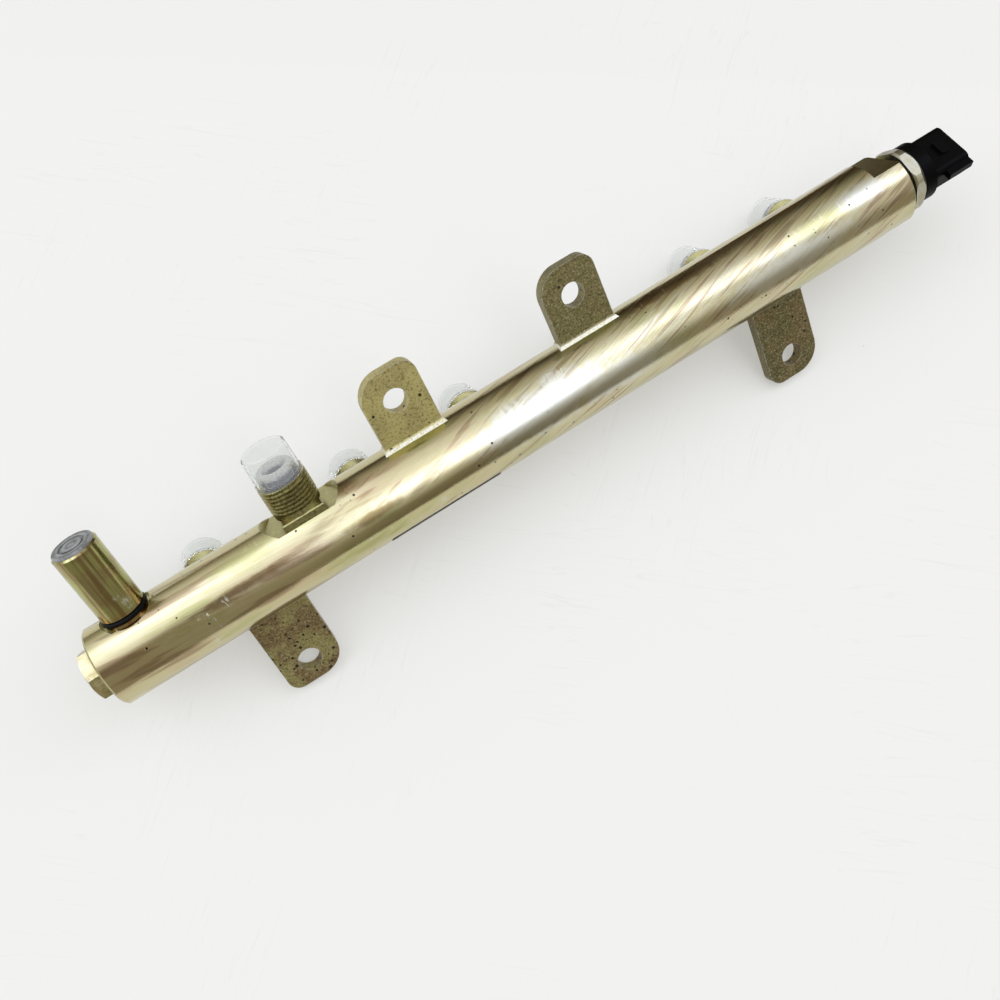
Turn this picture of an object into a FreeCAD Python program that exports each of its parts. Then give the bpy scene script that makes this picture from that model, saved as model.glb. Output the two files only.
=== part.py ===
import FreeCAD, Part
import math
import os

# Fuel rail of a six-cylinder common-rail diesel engine, with its shipping caps on.
# A thick steel tube holds the pressure. One inlet and a relief valve stand on one side, six
# injector outlets on another, a plug closes one end and a pressure sensor the other.
# Four welded plates bolt the rail to the engine.
# The rail is drawn with X along the tube from its plugged end, Y towards the inlet and Z away
# from the outlets. It is then tipped over onto its outlet caps and its two longer plates, as it
# lies on a bench, with the origin under the middle of it.
# Lengths are in millimetres and angles in degrees.

# Tube
tube_diameter = 30.0
tube_length = 341.0
tube_bore = 10.0
tube_rim_chamfer = 0.8
wrench_flat_depth = 3.5
wrench_flat_length = 12.7
cross_drilling = 2.4

# Clearances
thread_clearance = 0.1
seal_clearance = 0.02
slip_clearance = 0.1
running_clearance = 0.05

# End plug
plug_across_flats = 17.0
plug_head_height = 5.6
plug_head_chamfer = 0.7
plug_head_turn = 21.0
plug_thread_diameter = 14.0
plug_thread_length = 13.0
plug_seal_thickness = 1.5

# Screwed fittings, alike but for the length of thread
inlet_position = 83.8
outlets_from_plug_end = [43.2, 107.1, 156.5]
outlets_from_sensor_end = [127.0, 75.5, 34.7]
spot_face_depth = 3.0
spot_face_diameter = 28.4
spot_face_rim_diameter = 31.0
fitting_shank_diameter = 12.0
fitting_hole_web = 2.5
fitting_base_length = 16.0
fitting_base_width = 18.0
fitting_base_height = 3.0
fitting_base_chamfer = 0.4
fitting_collar_diameter = 17.6
fitting_collar_height = 1.8
fitting_thread_diameter = 18.0
fitting_thread_chamfer = 0.7
inlet_thread_length = 10.5
outlet_thread_length = 5.9
nose_diameter = 13.8
nose_length = 4.7
nose_chamfer = 0.5
mouth_diameter = 9.0
mouth_cone_angle = 60.0
fitting_bore = 3.0

# Shipping caps
cap_mouth_diameter = 17.2
cap_end_diameter = 16.4
cap_height = 12.1
cap_wall = 1.0
cap_end_bevel = 0.5
cap_rim_diameter = 17.8
cap_rim_height = 0.9
cap_rib_count = 8
cap_rib_width = 0.8

# Relief valve
valve_position = 16.5
valve_spot_face_depth = 1.8
valve_spot_face_diameter = 19.0
valve_shank_diameter = 12.0
valve_hole_web = 0.5
valve_foot_diameter = 16.2
valve_foot_height = 1.1
valve_diameter = 16.2
valve_length = 27.7
valve_end_chamfer = 0.6
valve_floor = 2.4
valve_chamber_diameter = 10.0
valve_port_diameter = 12.0
o_ring_section = 1.7
o_ring_bore = 13.6
o_ring_bulge = 0.3
seat_thickness = 3.0
seat_hole = 1.8
seat_mouth = 4.0
plunger_tip = 1.0
plunger_diameter = 4.8
plunger_neck = 1.6
plunger_collar_diameter = 9.2
plunger_collar_thickness = 1.6
plunger_spigot_diameter = 4.4
plunger_spigot_length = 4.0
spring_wire_width = 1.4
spring_wire_height = 1.2
spring_mean_diameter = 6.8
spring_length = 12.0
spring_turns = 4.0
stop_thickness = 3.0
stop_hole = 3.2

# Dust plug in the return port of the relief valve
dust_plug_flange_diameter = 14.8
dust_plug_flange_thickness = 1.0
dust_plug_flange_rounding = 0.3
dust_plug_skirt_length = 5.0
dust_plug_wall = 1.0
dust_plug_ring_diameter = 9.6
dust_plug_ring_width = 0.9
dust_plug_ring_depth = 0.35

# Pressure sensor
sensor_thread_diameter = 12.0
sensor_thread_length = 12.0
sensor_tip_gap = 0.3
sensor_port = 3.0
sensor_washer_diameter = 20.4
sensor_washer_thickness = 2.6
sensor_across_flats = 24.0
sensor_corner_diameter = 26.0
sensor_hex_height = 3.2
sensor_hex_turn = 12.5
sensor_hex_chamfer = 0.7
sensor_collar_height = 2.2
sensor_collar_diameter = 22.8
sensor_floor = 1.2
sensor_ledge_height = 1.2
sensor_ledge_width = 1.8
sensor_cavity_diameter = 20.4
cell_diameter = 6.0
cell_height = 3.8
cell_stand_out = 0.6
cell_wall = 1.4
diaphragm_thickness = 0.4
board_thickness = 1.0
gasket_thickness = 0.8
gasket_width = 1.2

# Electrical connector
connector_body_diameter = 23.4
connector_body_length = 5.7
connector_body_chamfer = 0.6
connector_turn = 35.6
connector_width = 19.0
connector_height = 11.5
connector_length = 16.3
connector_corner = 2.8
connector_wall = 1.5
socket_depth = 10.8
guide_rail_width = 2.9
guide_rail_offset = 2.95
guide_rail_height = 2.3
guide_rail_set_back = 5.3
latch_width = 6.0
latch_height = 1.2
latch_length = 5.0
latch_set_back = 3.5
pin_width = 2.2
pin_thickness = 0.8
pin_pitch = 4.6
pin_recess = 5.2

# Mounting plates: a short pair on the inlet side and a long pair opposite
plate_thickness = 5.0
plate_width = 23.0
plate_hole = 9.0
plate_wide_corner = 10.0
plate_tight_corner = 5.0
short_plate_from_plug_end = 131.0
short_plate_from_sensor_end = 136.7
short_plate_hole_reach = 30.6
short_plate_tip_margin = 11.7
long_plate_from_plug_end = 57.5
long_plate_from_sensor_end = 61.5
long_plate_hole_reach = 40.0
long_plate_tip_margin = 9.2
weld_leg = 1.2

# Places that follow from the sizes above
tube_radius = tube_diameter / 2
outlet_positions = outlets_from_plug_end + [tube_length - reach for reach in outlets_from_sensor_end]
short_plate_positions = [short_plate_from_plug_end, tube_length - short_plate_from_sensor_end]
long_plate_positions = [long_plate_from_plug_end, tube_length - long_plate_from_sensor_end]
plug_hole_radius = plug_thread_diameter / 2 + thread_clearance
fitting_shank_start = tube_bore / 2 + fitting_hole_web
valve_shank_start = plug_hole_radius + valve_hole_web
spot_face_level = tube_radius - spot_face_depth
fitting_thread_start = spot_face_level + fitting_base_height + fitting_collar_height
valve_spot_face_level = tube_radius - valve_spot_face_depth
valve_foot_top = valve_spot_face_level + valve_foot_height
valve_shoulder = valve_foot_top + o_ring_section
valve_end = valve_shoulder + valve_length
chamber_floor = valve_spot_face_level + valve_floor
seat_top = chamber_floor + seat_thickness
collar_top = seat_top + plunger_neck + plunger_collar_thickness
stop_bottom = collar_top + spring_length
stop_top = stop_bottom + stop_thickness
sensor_hex_start = tube_length + sensor_washer_thickness
sensor_collar_end = sensor_hex_start + sensor_hex_height + sensor_collar_height
cavity_floor = sensor_hex_start + sensor_floor
board_bottom = cavity_floor + sensor_ledge_height
board_top = board_bottom + board_thickness
gasket_top = board_top + gasket_thickness
connector_start = sensor_collar_end + connector_body_length
connector_end = connector_start + connector_length
socket_floor = connector_end - socket_depth

ORIGIN = FreeCAD.Vector(0, 0, 0)
ALONG = FreeCAD.Vector(1, 0, 0)
INLET_SIDE = FreeCAD.Vector(0, 1, 0)
OUTLET_SIDE = FreeCAD.Vector(0, 0, -1)


# Shared operations

def turned(profile, base=ORIGIN, direction=ALONG):
    """A turned solid from points of (distance along the axis, radius)."""
    points = [FreeCAD.Vector(distance, radius, 0) for distance, radius in profile]
    outline = Part.makePolygon(points + [points[0]])
    solid = Part.Face(outline).revolve(ORIGIN, ALONG, 360)
    solid.Placement = FreeCAD.Placement(base, FreeCAD.Rotation(ALONG, direction))
    return solid


def rod(start, end, diameter, base=ORIGIN, direction=ALONG):
    """A plain cylinder between two distances along an axis."""
    return Part.makeCylinder(diameter / 2, end - start, base + direction * start, direction)


def hexagon_bar(start, end, across_flats, turn):
    """A six-sided bar along the tube, with a corner turned from +Z towards +Y."""
    corner_radius = across_flats / math.sqrt(3)
    corners = []
    for index in range(7):
        angle = math.radians(turn + 60 * index)
        y = corner_radius * math.sin(angle)
        z = corner_radius * math.cos(angle)
        corners.append(FreeCAD.Vector(start, y, z))
    return Part.Face(Part.makePolygon(corners)).extrude(ALONG * (end - start))


def rounded_bar(start, end, height, width, corner):
    """A bar along the tube of rounded rectangular section, height along Y and width along Z."""
    corner_edges = []
    bar = Part.makeBox(end - start, height, width, FreeCAD.Vector(start, -height / 2, -width / 2))
    for edge in bar.Edges:
        if abs(edge.BoundBox.XLength - (end - start)) < 1e-6:
            corner_edges.append(edge)
    return bar.makeFillet(corner, corner_edges)


def turned_about_tube(shape, angle):
    """The shape turned about the axis of the tube, from +Y towards +Z."""
    placed = shape.copy()
    placed.rotate(ORIGIN, ALONG, angle)
    return placed


# Tube

def fitting_hole(position, direction):
    """Round spot face with a sloping wall, threaded hole and cross drilling for one fitting."""
    base = ALONG * position
    reach = tube_radius + tube_diameter
    hole_diameter = fitting_shank_diameter + 2 * thread_clearance
    spot_face = turned([
        (spot_face_level, 0),
        (spot_face_level, spot_face_diameter / 2),
        (tube_radius, spot_face_rim_diameter / 2),
        (reach, spot_face_rim_diameter / 2),
        (reach, 0),
    ], base, direction)
    hole = rod(fitting_shank_start, reach, hole_diameter, base, direction)
    drilling = rod(0, reach, cross_drilling, base, direction)
    return spot_face.fuse([hole, drilling])


def valve_hole():
    """Round spot face, threaded hole and cross drilling for the relief valve."""
    base = ALONG * valve_position
    reach = tube_radius + tube_diameter
    hole_diameter = valve_shank_diameter + 2 * thread_clearance
    spot_face = rod(valve_spot_face_level, reach, valve_spot_face_diameter, base, INLET_SIDE)
    hole = rod(valve_shank_start, reach, hole_diameter, base, INLET_SIDE)
    drilling = rod(0, reach, cross_drilling, base, INLET_SIDE)
    return spot_face.fuse([hole, drilling])


def wrench_flat_cutter(side):
    """The block that mills one wrench flat beside the sensor, on the +Y or the -Y side."""
    start = tube_length - wrench_flat_length
    level = tube_radius - wrench_flat_depth
    size = tube_diameter
    corner = FreeCAD.Vector(start, level if side > 0 else -level - size, -size)
    return Part.makeBox(wrench_flat_length + size, size, 2 * size, corner)


def rail_tube():
    """Thick-walled tube with a bore right through, a threaded hole at each end and its seats."""
    rim = tube_radius - tube_rim_chamfer
    plug_hole_depth = plug_thread_length + plug_seal_thickness
    sensor_hole_depth = sensor_thread_length + sensor_tip_gap
    sensor_hole_radius = sensor_thread_diameter / 2 + thread_clearance
    tube = turned([
        (0, plug_hole_radius),
        (0, rim),
        (tube_rim_chamfer, tube_radius),
        (tube_length - tube_rim_chamfer, tube_radius),
        (tube_length, rim),
        (tube_length, sensor_hole_radius),
        (tube_length - sensor_hole_depth, sensor_hole_radius),
        (tube_length - sensor_hole_depth, tube_bore / 2),
        (plug_hole_depth, tube_bore / 2),
        (plug_hole_depth, plug_hole_radius),
    ])
    cutters = [fitting_hole(inlet_position, INLET_SIDE), valve_hole()]
    for position in outlet_positions:
        cutters.append(fitting_hole(position, OUTLET_SIDE))
    for side in (1, -1):
        cutters.append(wrench_flat_cutter(side))
    return tube.cut(cutters)


# End plug

def end_plug():
    """Hexagon-headed screw plug, with the outer rim of its head chamfered."""
    corner_radius = plug_across_flats / math.sqrt(3)
    head = hexagon_bar(-plug_head_height, 0, plug_across_flats, plug_head_turn)
    envelope = turned([
        (-plug_head_height, 0),
        (-plug_head_height, plug_across_flats / 2),
        (-plug_head_height + plug_head_chamfer, corner_radius),
        (0, corner_radius),
        (0, 0),
    ])
    shank = rod(0, plug_thread_length, plug_thread_diameter)
    return head.common(envelope).fuse(shank).removeSplitter()


def end_plug_seal():
    """Soft iron ring crushed between the plug and the bottom of its hole."""
    start = plug_thread_length
    ring = rod(start, start + plug_seal_thickness, plug_thread_diameter)
    return ring.cut(rod(start, start + plug_seal_thickness, tube_bore))


# Inlet and outlet fittings

def thread_end(thread_length):
    """Distance from the axis of the tube to the end of a fitting's thread."""
    return fitting_thread_start + thread_length


def screwed_fitting(position, direction, thread_length):
    """Pipe fitting: shank, oblong base for a spanner, collar, thread, nose and conical mouth."""
    base = ALONG * position
    end = thread_end(thread_length)
    tip = end + nose_length
    thread_radius = fitting_thread_diameter / 2
    mouth_radius = mouth_diameter / 2
    bore_radius = fitting_bore / 2
    mouth_depth = (mouth_radius - bore_radius) / math.tan(math.radians(mouth_cone_angle / 2))
    base_top = spot_face_level + fitting_base_height
    stem = turned([
        (fitting_shank_start, bore_radius),
        (fitting_shank_start, fitting_shank_diameter / 2),
        (base_top, fitting_shank_diameter / 2),
        (base_top, fitting_collar_diameter / 2),
        (fitting_thread_start, fitting_collar_diameter / 2),
        (fitting_thread_start + fitting_thread_chamfer, thread_radius),
        (end - fitting_thread_chamfer, thread_radius),
        (end, thread_radius - fitting_thread_chamfer),
        (end, nose_diameter / 2),
        (tip - nose_chamfer, nose_diameter / 2),
        (tip, nose_diameter / 2 - nose_chamfer),
        (tip, mouth_radius),
        (tip - mouth_depth, bore_radius),
    ], base, direction)
    block = fitting_base(base, direction)
    return stem.fuse(block)


def fitting_base(base, direction):
    """Oblong base that sits on the spot face, bored to clear the fuel passage."""
    corner = FreeCAD.Vector(spot_face_level, -fitting_base_width / 2, -fitting_base_length / 2)
    block = Part.makeBox(fitting_base_height, fitting_base_width, fitting_base_length, corner)
    top = spot_face_level + fitting_base_height
    rim = [edge for edge in block.Edges if edge.BoundBox.XMin > top - 1e-6]
    block = block.makeChamfer(fitting_base_chamfer, rim)
    block = block.cut(rod(spot_face_level, top, fitting_bore))
    # The long side of the base lies across the tube, whichever way the fitting points
    turn = 0 if direction == OUTLET_SIDE else 90
    block.rotate(ORIGIN, ALONG, turn)
    block.Placement = FreeCAD.Placement(base, FreeCAD.Rotation(ALONG, direction)).multiply(block.Placement)
    return block


def shipping_cap(position, direction, thread_length):
    """Thin moulded cap over a fitting's nose: tapered wall, closed end, rim and inner ribs."""
    base = ALONG * position
    start = thread_end(thread_length)
    end = start + cap_height
    mouth_radius = cap_mouth_diameter / 2
    end_radius = cap_end_diameter / 2
    rim_radius = cap_rim_diameter / 2
    grip_radius = nose_diameter / 2 + slip_clearance
    rim_top = start + cap_rim_height
    taper = (mouth_radius - end_radius) / (cap_height - cap_end_bevel)
    rim_wall_radius = mouth_radius - taper * cap_rim_height
    inner_end = end - cap_wall
    inner_end_radius = end_radius - cap_wall
    shell = turned([
        (start, grip_radius),
        (start, rim_radius),
        (rim_top, rim_radius),
        (rim_top, rim_wall_radius),
        (end - cap_end_bevel, end_radius),
        (end, end_radius - cap_end_bevel),
        (end, 0),
        (inner_end, 0),
        (inner_end, inner_end_radius),
        (rim_top, rim_wall_radius - cap_wall),
        (rim_top, grip_radius),
    ])
    ribs = []
    rib_end = start + nose_length
    for index in range(cap_rib_count):
        height = mouth_radius - cap_wall / 2 - grip_radius
        corner = FreeCAD.Vector(rim_top, grip_radius, -cap_rib_width / 2)
        rib = Part.makeBox(rib_end - rim_top, height, cap_rib_width, corner)
        rib.rotate(ORIGIN, ALONG, 360 * index / cap_rib_count)
        ribs.append(rib)
    cap = shell.fuse(ribs)
    cap.Placement = FreeCAD.Placement(base, FreeCAD.Rotation(ALONG, direction))
    return cap


# Relief valve

def relief_valve_body():
    """Round body screwed down onto its foot, bored out for the valve parts and the return port."""
    radius = valve_diameter / 2
    foot_radius = valve_foot_diameter / 2
    groove_radius = o_ring_bore / 2
    return turned([
        (valve_shank_start, cross_drilling / 2),
        (valve_shank_start, valve_shank_diameter / 2),
        (valve_spot_face_level, valve_shank_diameter / 2),
        (valve_spot_face_level, foot_radius),
        (valve_foot_top, foot_radius),
        (valve_foot_top, groove_radius),
        (valve_shoulder, groove_radius),
        (valve_shoulder, radius - valve_end_chamfer),
        (valve_shoulder + valve_end_chamfer, radius),
        (valve_end - valve_end_chamfer, radius),
        (valve_end, radius - valve_end_chamfer),
        (valve_end, valve_port_diameter / 2),
        (stop_top, valve_port_diameter / 2),
        (stop_top, valve_chamber_diameter / 2),
        (chamber_floor, valve_chamber_diameter / 2),
        (chamber_floor, cross_drilling / 2),
    ], ALONG * valve_position, INLET_SIDE)


def relief_valve_o_ring():
    """O-ring in the groove between the foot and the body of the relief valve, squeezed flat."""
    inner = o_ring_bore / 2
    outer = inner + o_ring_section
    bulge = o_ring_section * o_ring_bulge
    return turned([
        (valve_foot_top, inner),
        (valve_foot_top, outer - bulge),
        (valve_foot_top + bulge, outer),
        (valve_shoulder - bulge, outer),
        (valve_shoulder, outer - bulge),
        (valve_shoulder, inner),
    ], ALONG * valve_position, INLET_SIDE)


def relief_valve_seat():
    """Hardened disc with a small hole and a conical seat."""
    cone_depth = (seat_mouth - seat_hole) / 2
    radius = valve_chamber_diameter / 2 - running_clearance
    return turned([
        (chamber_floor, seat_hole / 2),
        (chamber_floor, radius),
        (seat_top, radius),
        (seat_top, seat_mouth / 2),
        (seat_top - cone_depth, seat_hole / 2),
    ], ALONG * valve_position, INLET_SIDE)


def relief_valve_plunger():
    """Plunger whose cone closes the seat, with a collar and a spigot for the spring."""
    tip = seat_top - (seat_mouth - plunger_tip) / 2 + running_clearance
    cone_top = tip + (plunger_diameter - plunger_tip) / 2
    collar_bottom = seat_top + plunger_neck
    spigot_top = collar_top + plunger_spigot_length
    return turned([
        (tip, 0),
        (tip, plunger_tip / 2),
        (cone_top, plunger_diameter / 2),
        (collar_bottom, plunger_diameter / 2),
        (collar_bottom, plunger_collar_diameter / 2),
        (collar_top, plunger_collar_diameter / 2),
        (collar_top, plunger_spigot_diameter / 2),
        (spigot_top, plunger_spigot_diameter / 2),
        (spigot_top, 0),
    ], ALONG * valve_position, INLET_SIDE)


def relief_valve_spring():
    """Stiff coil spring of oblong wire between the plunger's collar and the stop."""
    rise = spring_length - spring_wire_height
    mean_radius = spring_mean_diameter / 2
    inner = mean_radius - spring_wire_width / 2
    outer = mean_radius + spring_wire_width / 2
    path = Part.makeHelix(rise / spring_turns, rise, mean_radius)
    section = Part.makePolygon([
        FreeCAD.Vector(inner, 0, 0),
        FreeCAD.Vector(outer, 0, 0),
        FreeCAD.Vector(outer, 0, spring_wire_height),
        FreeCAD.Vector(inner, 0, spring_wire_height),
        FreeCAD.Vector(inner, 0, 0),
    ])
    spring = Part.Wire(path.Edges).makePipeShell([section], True, True)
    centre = ALONG * valve_position + INLET_SIDE * collar_top
    axis_turn = FreeCAD.Rotation(FreeCAD.Vector(0, 0, 1), INLET_SIDE)
    spring.Placement = FreeCAD.Placement(centre, axis_turn)
    return spring


def relief_valve_spring_stop():
    """Ring pressed above the spring, with a hole for the returning fuel."""
    radius = valve_chamber_diameter / 2 - running_clearance
    return turned([
        (stop_bottom, stop_hole / 2),
        (stop_bottom, radius),
        (stop_top, radius),
        (stop_top, stop_hole / 2),
    ], ALONG * valve_position, INLET_SIDE)


def relief_valve_dust_plug():
    """Moulded plug in the return port: a skirt, and a flange with a sunk ring."""
    skirt_radius = valve_port_diameter / 2 - slip_clearance
    skirt_bottom = valve_end - dust_plug_skirt_length
    flange_top = valve_end + dust_plug_flange_thickness
    ring_floor = flange_top - dust_plug_ring_depth
    ring_outer = dust_plug_ring_diameter / 2
    ring_inner = ring_outer - dust_plug_ring_width
    rounding = dust_plug_flange_rounding
    return turned([
        (skirt_bottom, skirt_radius - dust_plug_wall),
        (skirt_bottom, skirt_radius),
        (valve_end, skirt_radius),
        (valve_end, dust_plug_flange_diameter / 2),
        (flange_top - rounding, dust_plug_flange_diameter / 2),
        (flange_top, dust_plug_flange_diameter / 2 - rounding),
        (flange_top, ring_outer),
        (ring_floor, ring_outer),
        (ring_floor, ring_inner),
        (flange_top, ring_inner),
        (flange_top, 0),
        (valve_end, 0),
        (valve_end, skirt_radius - dust_plug_wall),
    ], ALONG * valve_position, INLET_SIDE)


# Pressure sensor

def sensor_body():
    """Steel body: threaded shank, hexagon that runs into a round collar, and a stepped cavity."""
    corner_radius = sensor_corner_diameter / 2
    shank_start = tube_length - sensor_thread_length
    hex_end = sensor_hex_start + sensor_hex_height
    head = hexagon_bar(sensor_hex_start, sensor_collar_end, sensor_across_flats, sensor_hex_turn)
    envelope = turned([
        (sensor_hex_start, 0),
        (sensor_hex_start, corner_radius - sensor_hex_chamfer),
        (sensor_hex_start + sensor_hex_chamfer, corner_radius),
        (hex_end, corner_radius),
        (sensor_collar_end, sensor_collar_diameter / 2),
        (sensor_collar_end, 0),
    ])
    shank = rod(shank_start, sensor_hex_start, sensor_thread_diameter)
    cavity_radius = sensor_cavity_diameter / 2
    cell_seat = cavity_floor + cell_stand_out - cell_height
    cell_well_radius = cell_diameter / 2 + running_clearance
    hollow = turned([
        (shank_start, 0),
        (shank_start, sensor_port / 2),
        (cell_seat, sensor_port / 2),
        (cell_seat, cell_well_radius),
        (cavity_floor, cell_well_radius),
        (cavity_floor, cavity_radius - sensor_ledge_width),
        (board_bottom, cavity_radius - sensor_ledge_width),
        (board_bottom, cavity_radius),
        (sensor_collar_end, cavity_radius),
        (sensor_collar_end, 0),
    ])
    return head.common(envelope).fuse(shank).cut(hollow)


def sensor_washer():
    """Steel washer between the end of the tube and the sensor."""
    hole = sensor_thread_diameter + 2 * thread_clearance
    washer = rod(tube_length, sensor_hex_start, sensor_washer_diameter)
    return washer.cut(rod(tube_length, sensor_hex_start, hole))


def sensor_cell():
    """Steel measuring cell: a small cup whose thin end bends with the fuel pressure."""
    start = cavity_floor + cell_stand_out - cell_height
    end = start + cell_height
    radius = cell_diameter / 2
    diaphragm = end - diaphragm_thickness
    return turned([
        (start, radius - cell_wall),
        (start, radius),
        (end, radius),
        (end, 0),
        (diaphragm, 0),
        (diaphragm, radius - cell_wall),
    ])


def sensor_circuit_board():
    """Round circuit board on the ledge of the sensor body."""
    return rod(board_bottom, board_top, sensor_cavity_diameter - 2 * slip_clearance)


def sensor_gasket():
    """Flat ring that seals the connector to the sensor body."""
    diameter = sensor_cavity_diameter - 2 * slip_clearance
    ring = rod(board_top, gasket_top, diameter)
    return ring.cut(rod(board_top, gasket_top, diameter - 2 * gasket_width))


def pin_places():
    """Middle of each contact pin across the connector."""
    return [-pin_pitch, 0, pin_pitch]


def pin_bar(place, start, end, clearance):
    """One flat contact pin, or the slot for it."""
    thickness = pin_thickness + 2 * clearance
    width = pin_width + 2 * clearance
    corner = FreeCAD.Vector(start, -thickness / 2, place - width / 2)
    return Part.makeBox(end - start, thickness, width, corner)


def connector_latch():
    """Wedge on the wide face that the plug of the harness snaps over."""
    end = connector_end - latch_set_back
    level = connector_height / 2
    outline = Part.makePolygon([
        FreeCAD.Vector(end - latch_length, level + latch_height, -latch_width / 2),
        FreeCAD.Vector(end - latch_length, level, -latch_width / 2),
        FreeCAD.Vector(end, level, -latch_width / 2),
        FreeCAD.Vector(end - latch_length, level + latch_height, -latch_width / 2),
    ])
    return Part.Face(outline).extrude(FreeCAD.Vector(0, 0, latch_width))


def connector_guide_rail():
    """Rail along one narrow side that keys the plug of the harness."""
    start = connector_start + guide_rail_set_back
    corner = FreeCAD.Vector(
        start,
        guide_rail_offset - guide_rail_width / 2,
        connector_width / 2 - connector_corner / 2,
    )
    height = guide_rail_height + connector_corner / 2
    return Part.makeBox(connector_end - start, guide_rail_width, height, corner)


def sensor_connector():
    """Moulded connector: a round foot in the sensor's collar, a round body and a keyed socket."""
    foot_radius = sensor_cavity_diameter / 2 - slip_clearance
    body_radius = connector_body_diameter / 2
    body = turned([
        (gasket_top, 0),
        (gasket_top, foot_radius),
        (sensor_collar_end, foot_radius),
        (sensor_collar_end, body_radius),
        (connector_start - connector_body_chamfer, body_radius),
        (connector_start, body_radius - connector_body_chamfer),
        (connector_start, 0),
    ])
    shroud = rounded_bar(
        sensor_collar_end,
        connector_end,
        connector_height,
        connector_width,
        connector_corner,
    )
    additions = [shroud, connector_guide_rail(), connector_latch()]
    socket = rounded_bar(
        socket_floor,
        connector_end + connector_wall,
        connector_height - 2 * connector_wall,
        connector_width - 2 * connector_wall,
        connector_corner - connector_wall,
    )
    slots = []
    for place in pin_places():
        slots.append(pin_bar(place, gasket_top, socket_floor, seal_clearance))
    connector = body.fuse(additions).removeSplitter().cut([socket] + slots)
    return turned_about_tube(connector, connector_turn)


def sensor_pins():
    """Three flat contact pins that stand on the circuit board."""
    pins = []
    for place in pin_places():
        pins.append(pin_bar(place, board_top, connector_end - pin_recess, 0))
    return turned_about_tube(Part.makeCompound(pins), connector_turn)


# Mounting plates

def plate_outline(tip):
    """Plate from inside the tube to its tip, with one wide and one tight corner."""
    half = plate_width / 2
    wide = plate_wide_corner
    tight = plate_tight_corner
    diagonal = 1 - math.sqrt(0.5)
    root_left = FreeCAD.Vector(-half, 0, 0)
    root_right = FreeCAD.Vector(half, 0, 0)
    wide_start = FreeCAD.Vector(-half, tip - wide, 0)
    wide_middle = FreeCAD.Vector(-half + wide * diagonal, tip - wide * diagonal, 0)
    wide_end = FreeCAD.Vector(-half + wide, tip, 0)
    tight_start = FreeCAD.Vector(half - tight, tip, 0)
    tight_middle = FreeCAD.Vector(half - tight * diagonal, tip - tight * diagonal, 0)
    tight_end = FreeCAD.Vector(half, tip - tight, 0)
    return Part.Wire([
        Part.makeLine(root_left, wide_start),
        Part.Arc(wide_start, wide_middle, wide_end).toShape(),
        Part.makeLine(wide_end, tight_start),
        Part.Arc(tight_start, tight_middle, tight_end).toShape(),
        Part.makeLine(tight_end, root_right),
        Part.makeLine(root_right, root_left),
    ])


def weld_bead():
    """Weld round the root of a plate: full leg on the tube, running out on the plate."""
    toe = plate_thickness / 2 + weld_leg
    toe_level = math.sqrt(tube_radius ** 2 - toe ** 2)
    sections = []
    for level, leg in ((0, weld_leg), (toe_level, weld_leg), (tube_radius + weld_leg, 0)):
        half_width = plate_width / 2 + leg
        half_thickness = plate_thickness / 2 + leg
        sections.append((level, half_width, half_thickness))
    skirt = weld_layer(sections[0], sections[1])
    slope = weld_layer(sections[1], sections[2])
    return skirt.fuse(slope)


def weld_layer(lower, upper):
    """One tapering layer of the weld between two oblong sections."""
    outlines = []
    for level, half_width, half_thickness in (lower, upper):
        corners = [(-1, -1), (1, -1), (1, 1), (-1, 1), (-1, -1)]
        points = [FreeCAD.Vector(x * half_width, level, z * half_thickness) for x, z in corners]
        outlines.append(Part.makePolygon(points))
    return Part.makeLoft(outlines, True, True)


def mounting_plate(position, hole_reach, tip_margin, turn):
    """Pressed plate with one bolt hole and its weld, hollowed at the root to fit the tube."""
    face = Part.Face(plate_outline(hole_reach + tip_margin))
    plate = face.extrude(FreeCAD.Vector(0, 0, plate_thickness))
    plate.translate(FreeCAD.Vector(0, 0, -plate_thickness / 2))
    hole_start = FreeCAD.Vector(0, hole_reach, -plate_thickness)
    hole = Part.makeCylinder(plate_hole / 2, 2 * plate_thickness, hole_start)
    tube_space = rod(-plate_width, plate_width, tube_diameter)
    plate = plate.fuse(weld_bead()).cut([hole, tube_space])
    plate.rotate(ORIGIN, FreeCAD.Vector(0, 0, 1), turn)
    plate.translate(ALONG * position)
    return plate


# The whole rail

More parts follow.
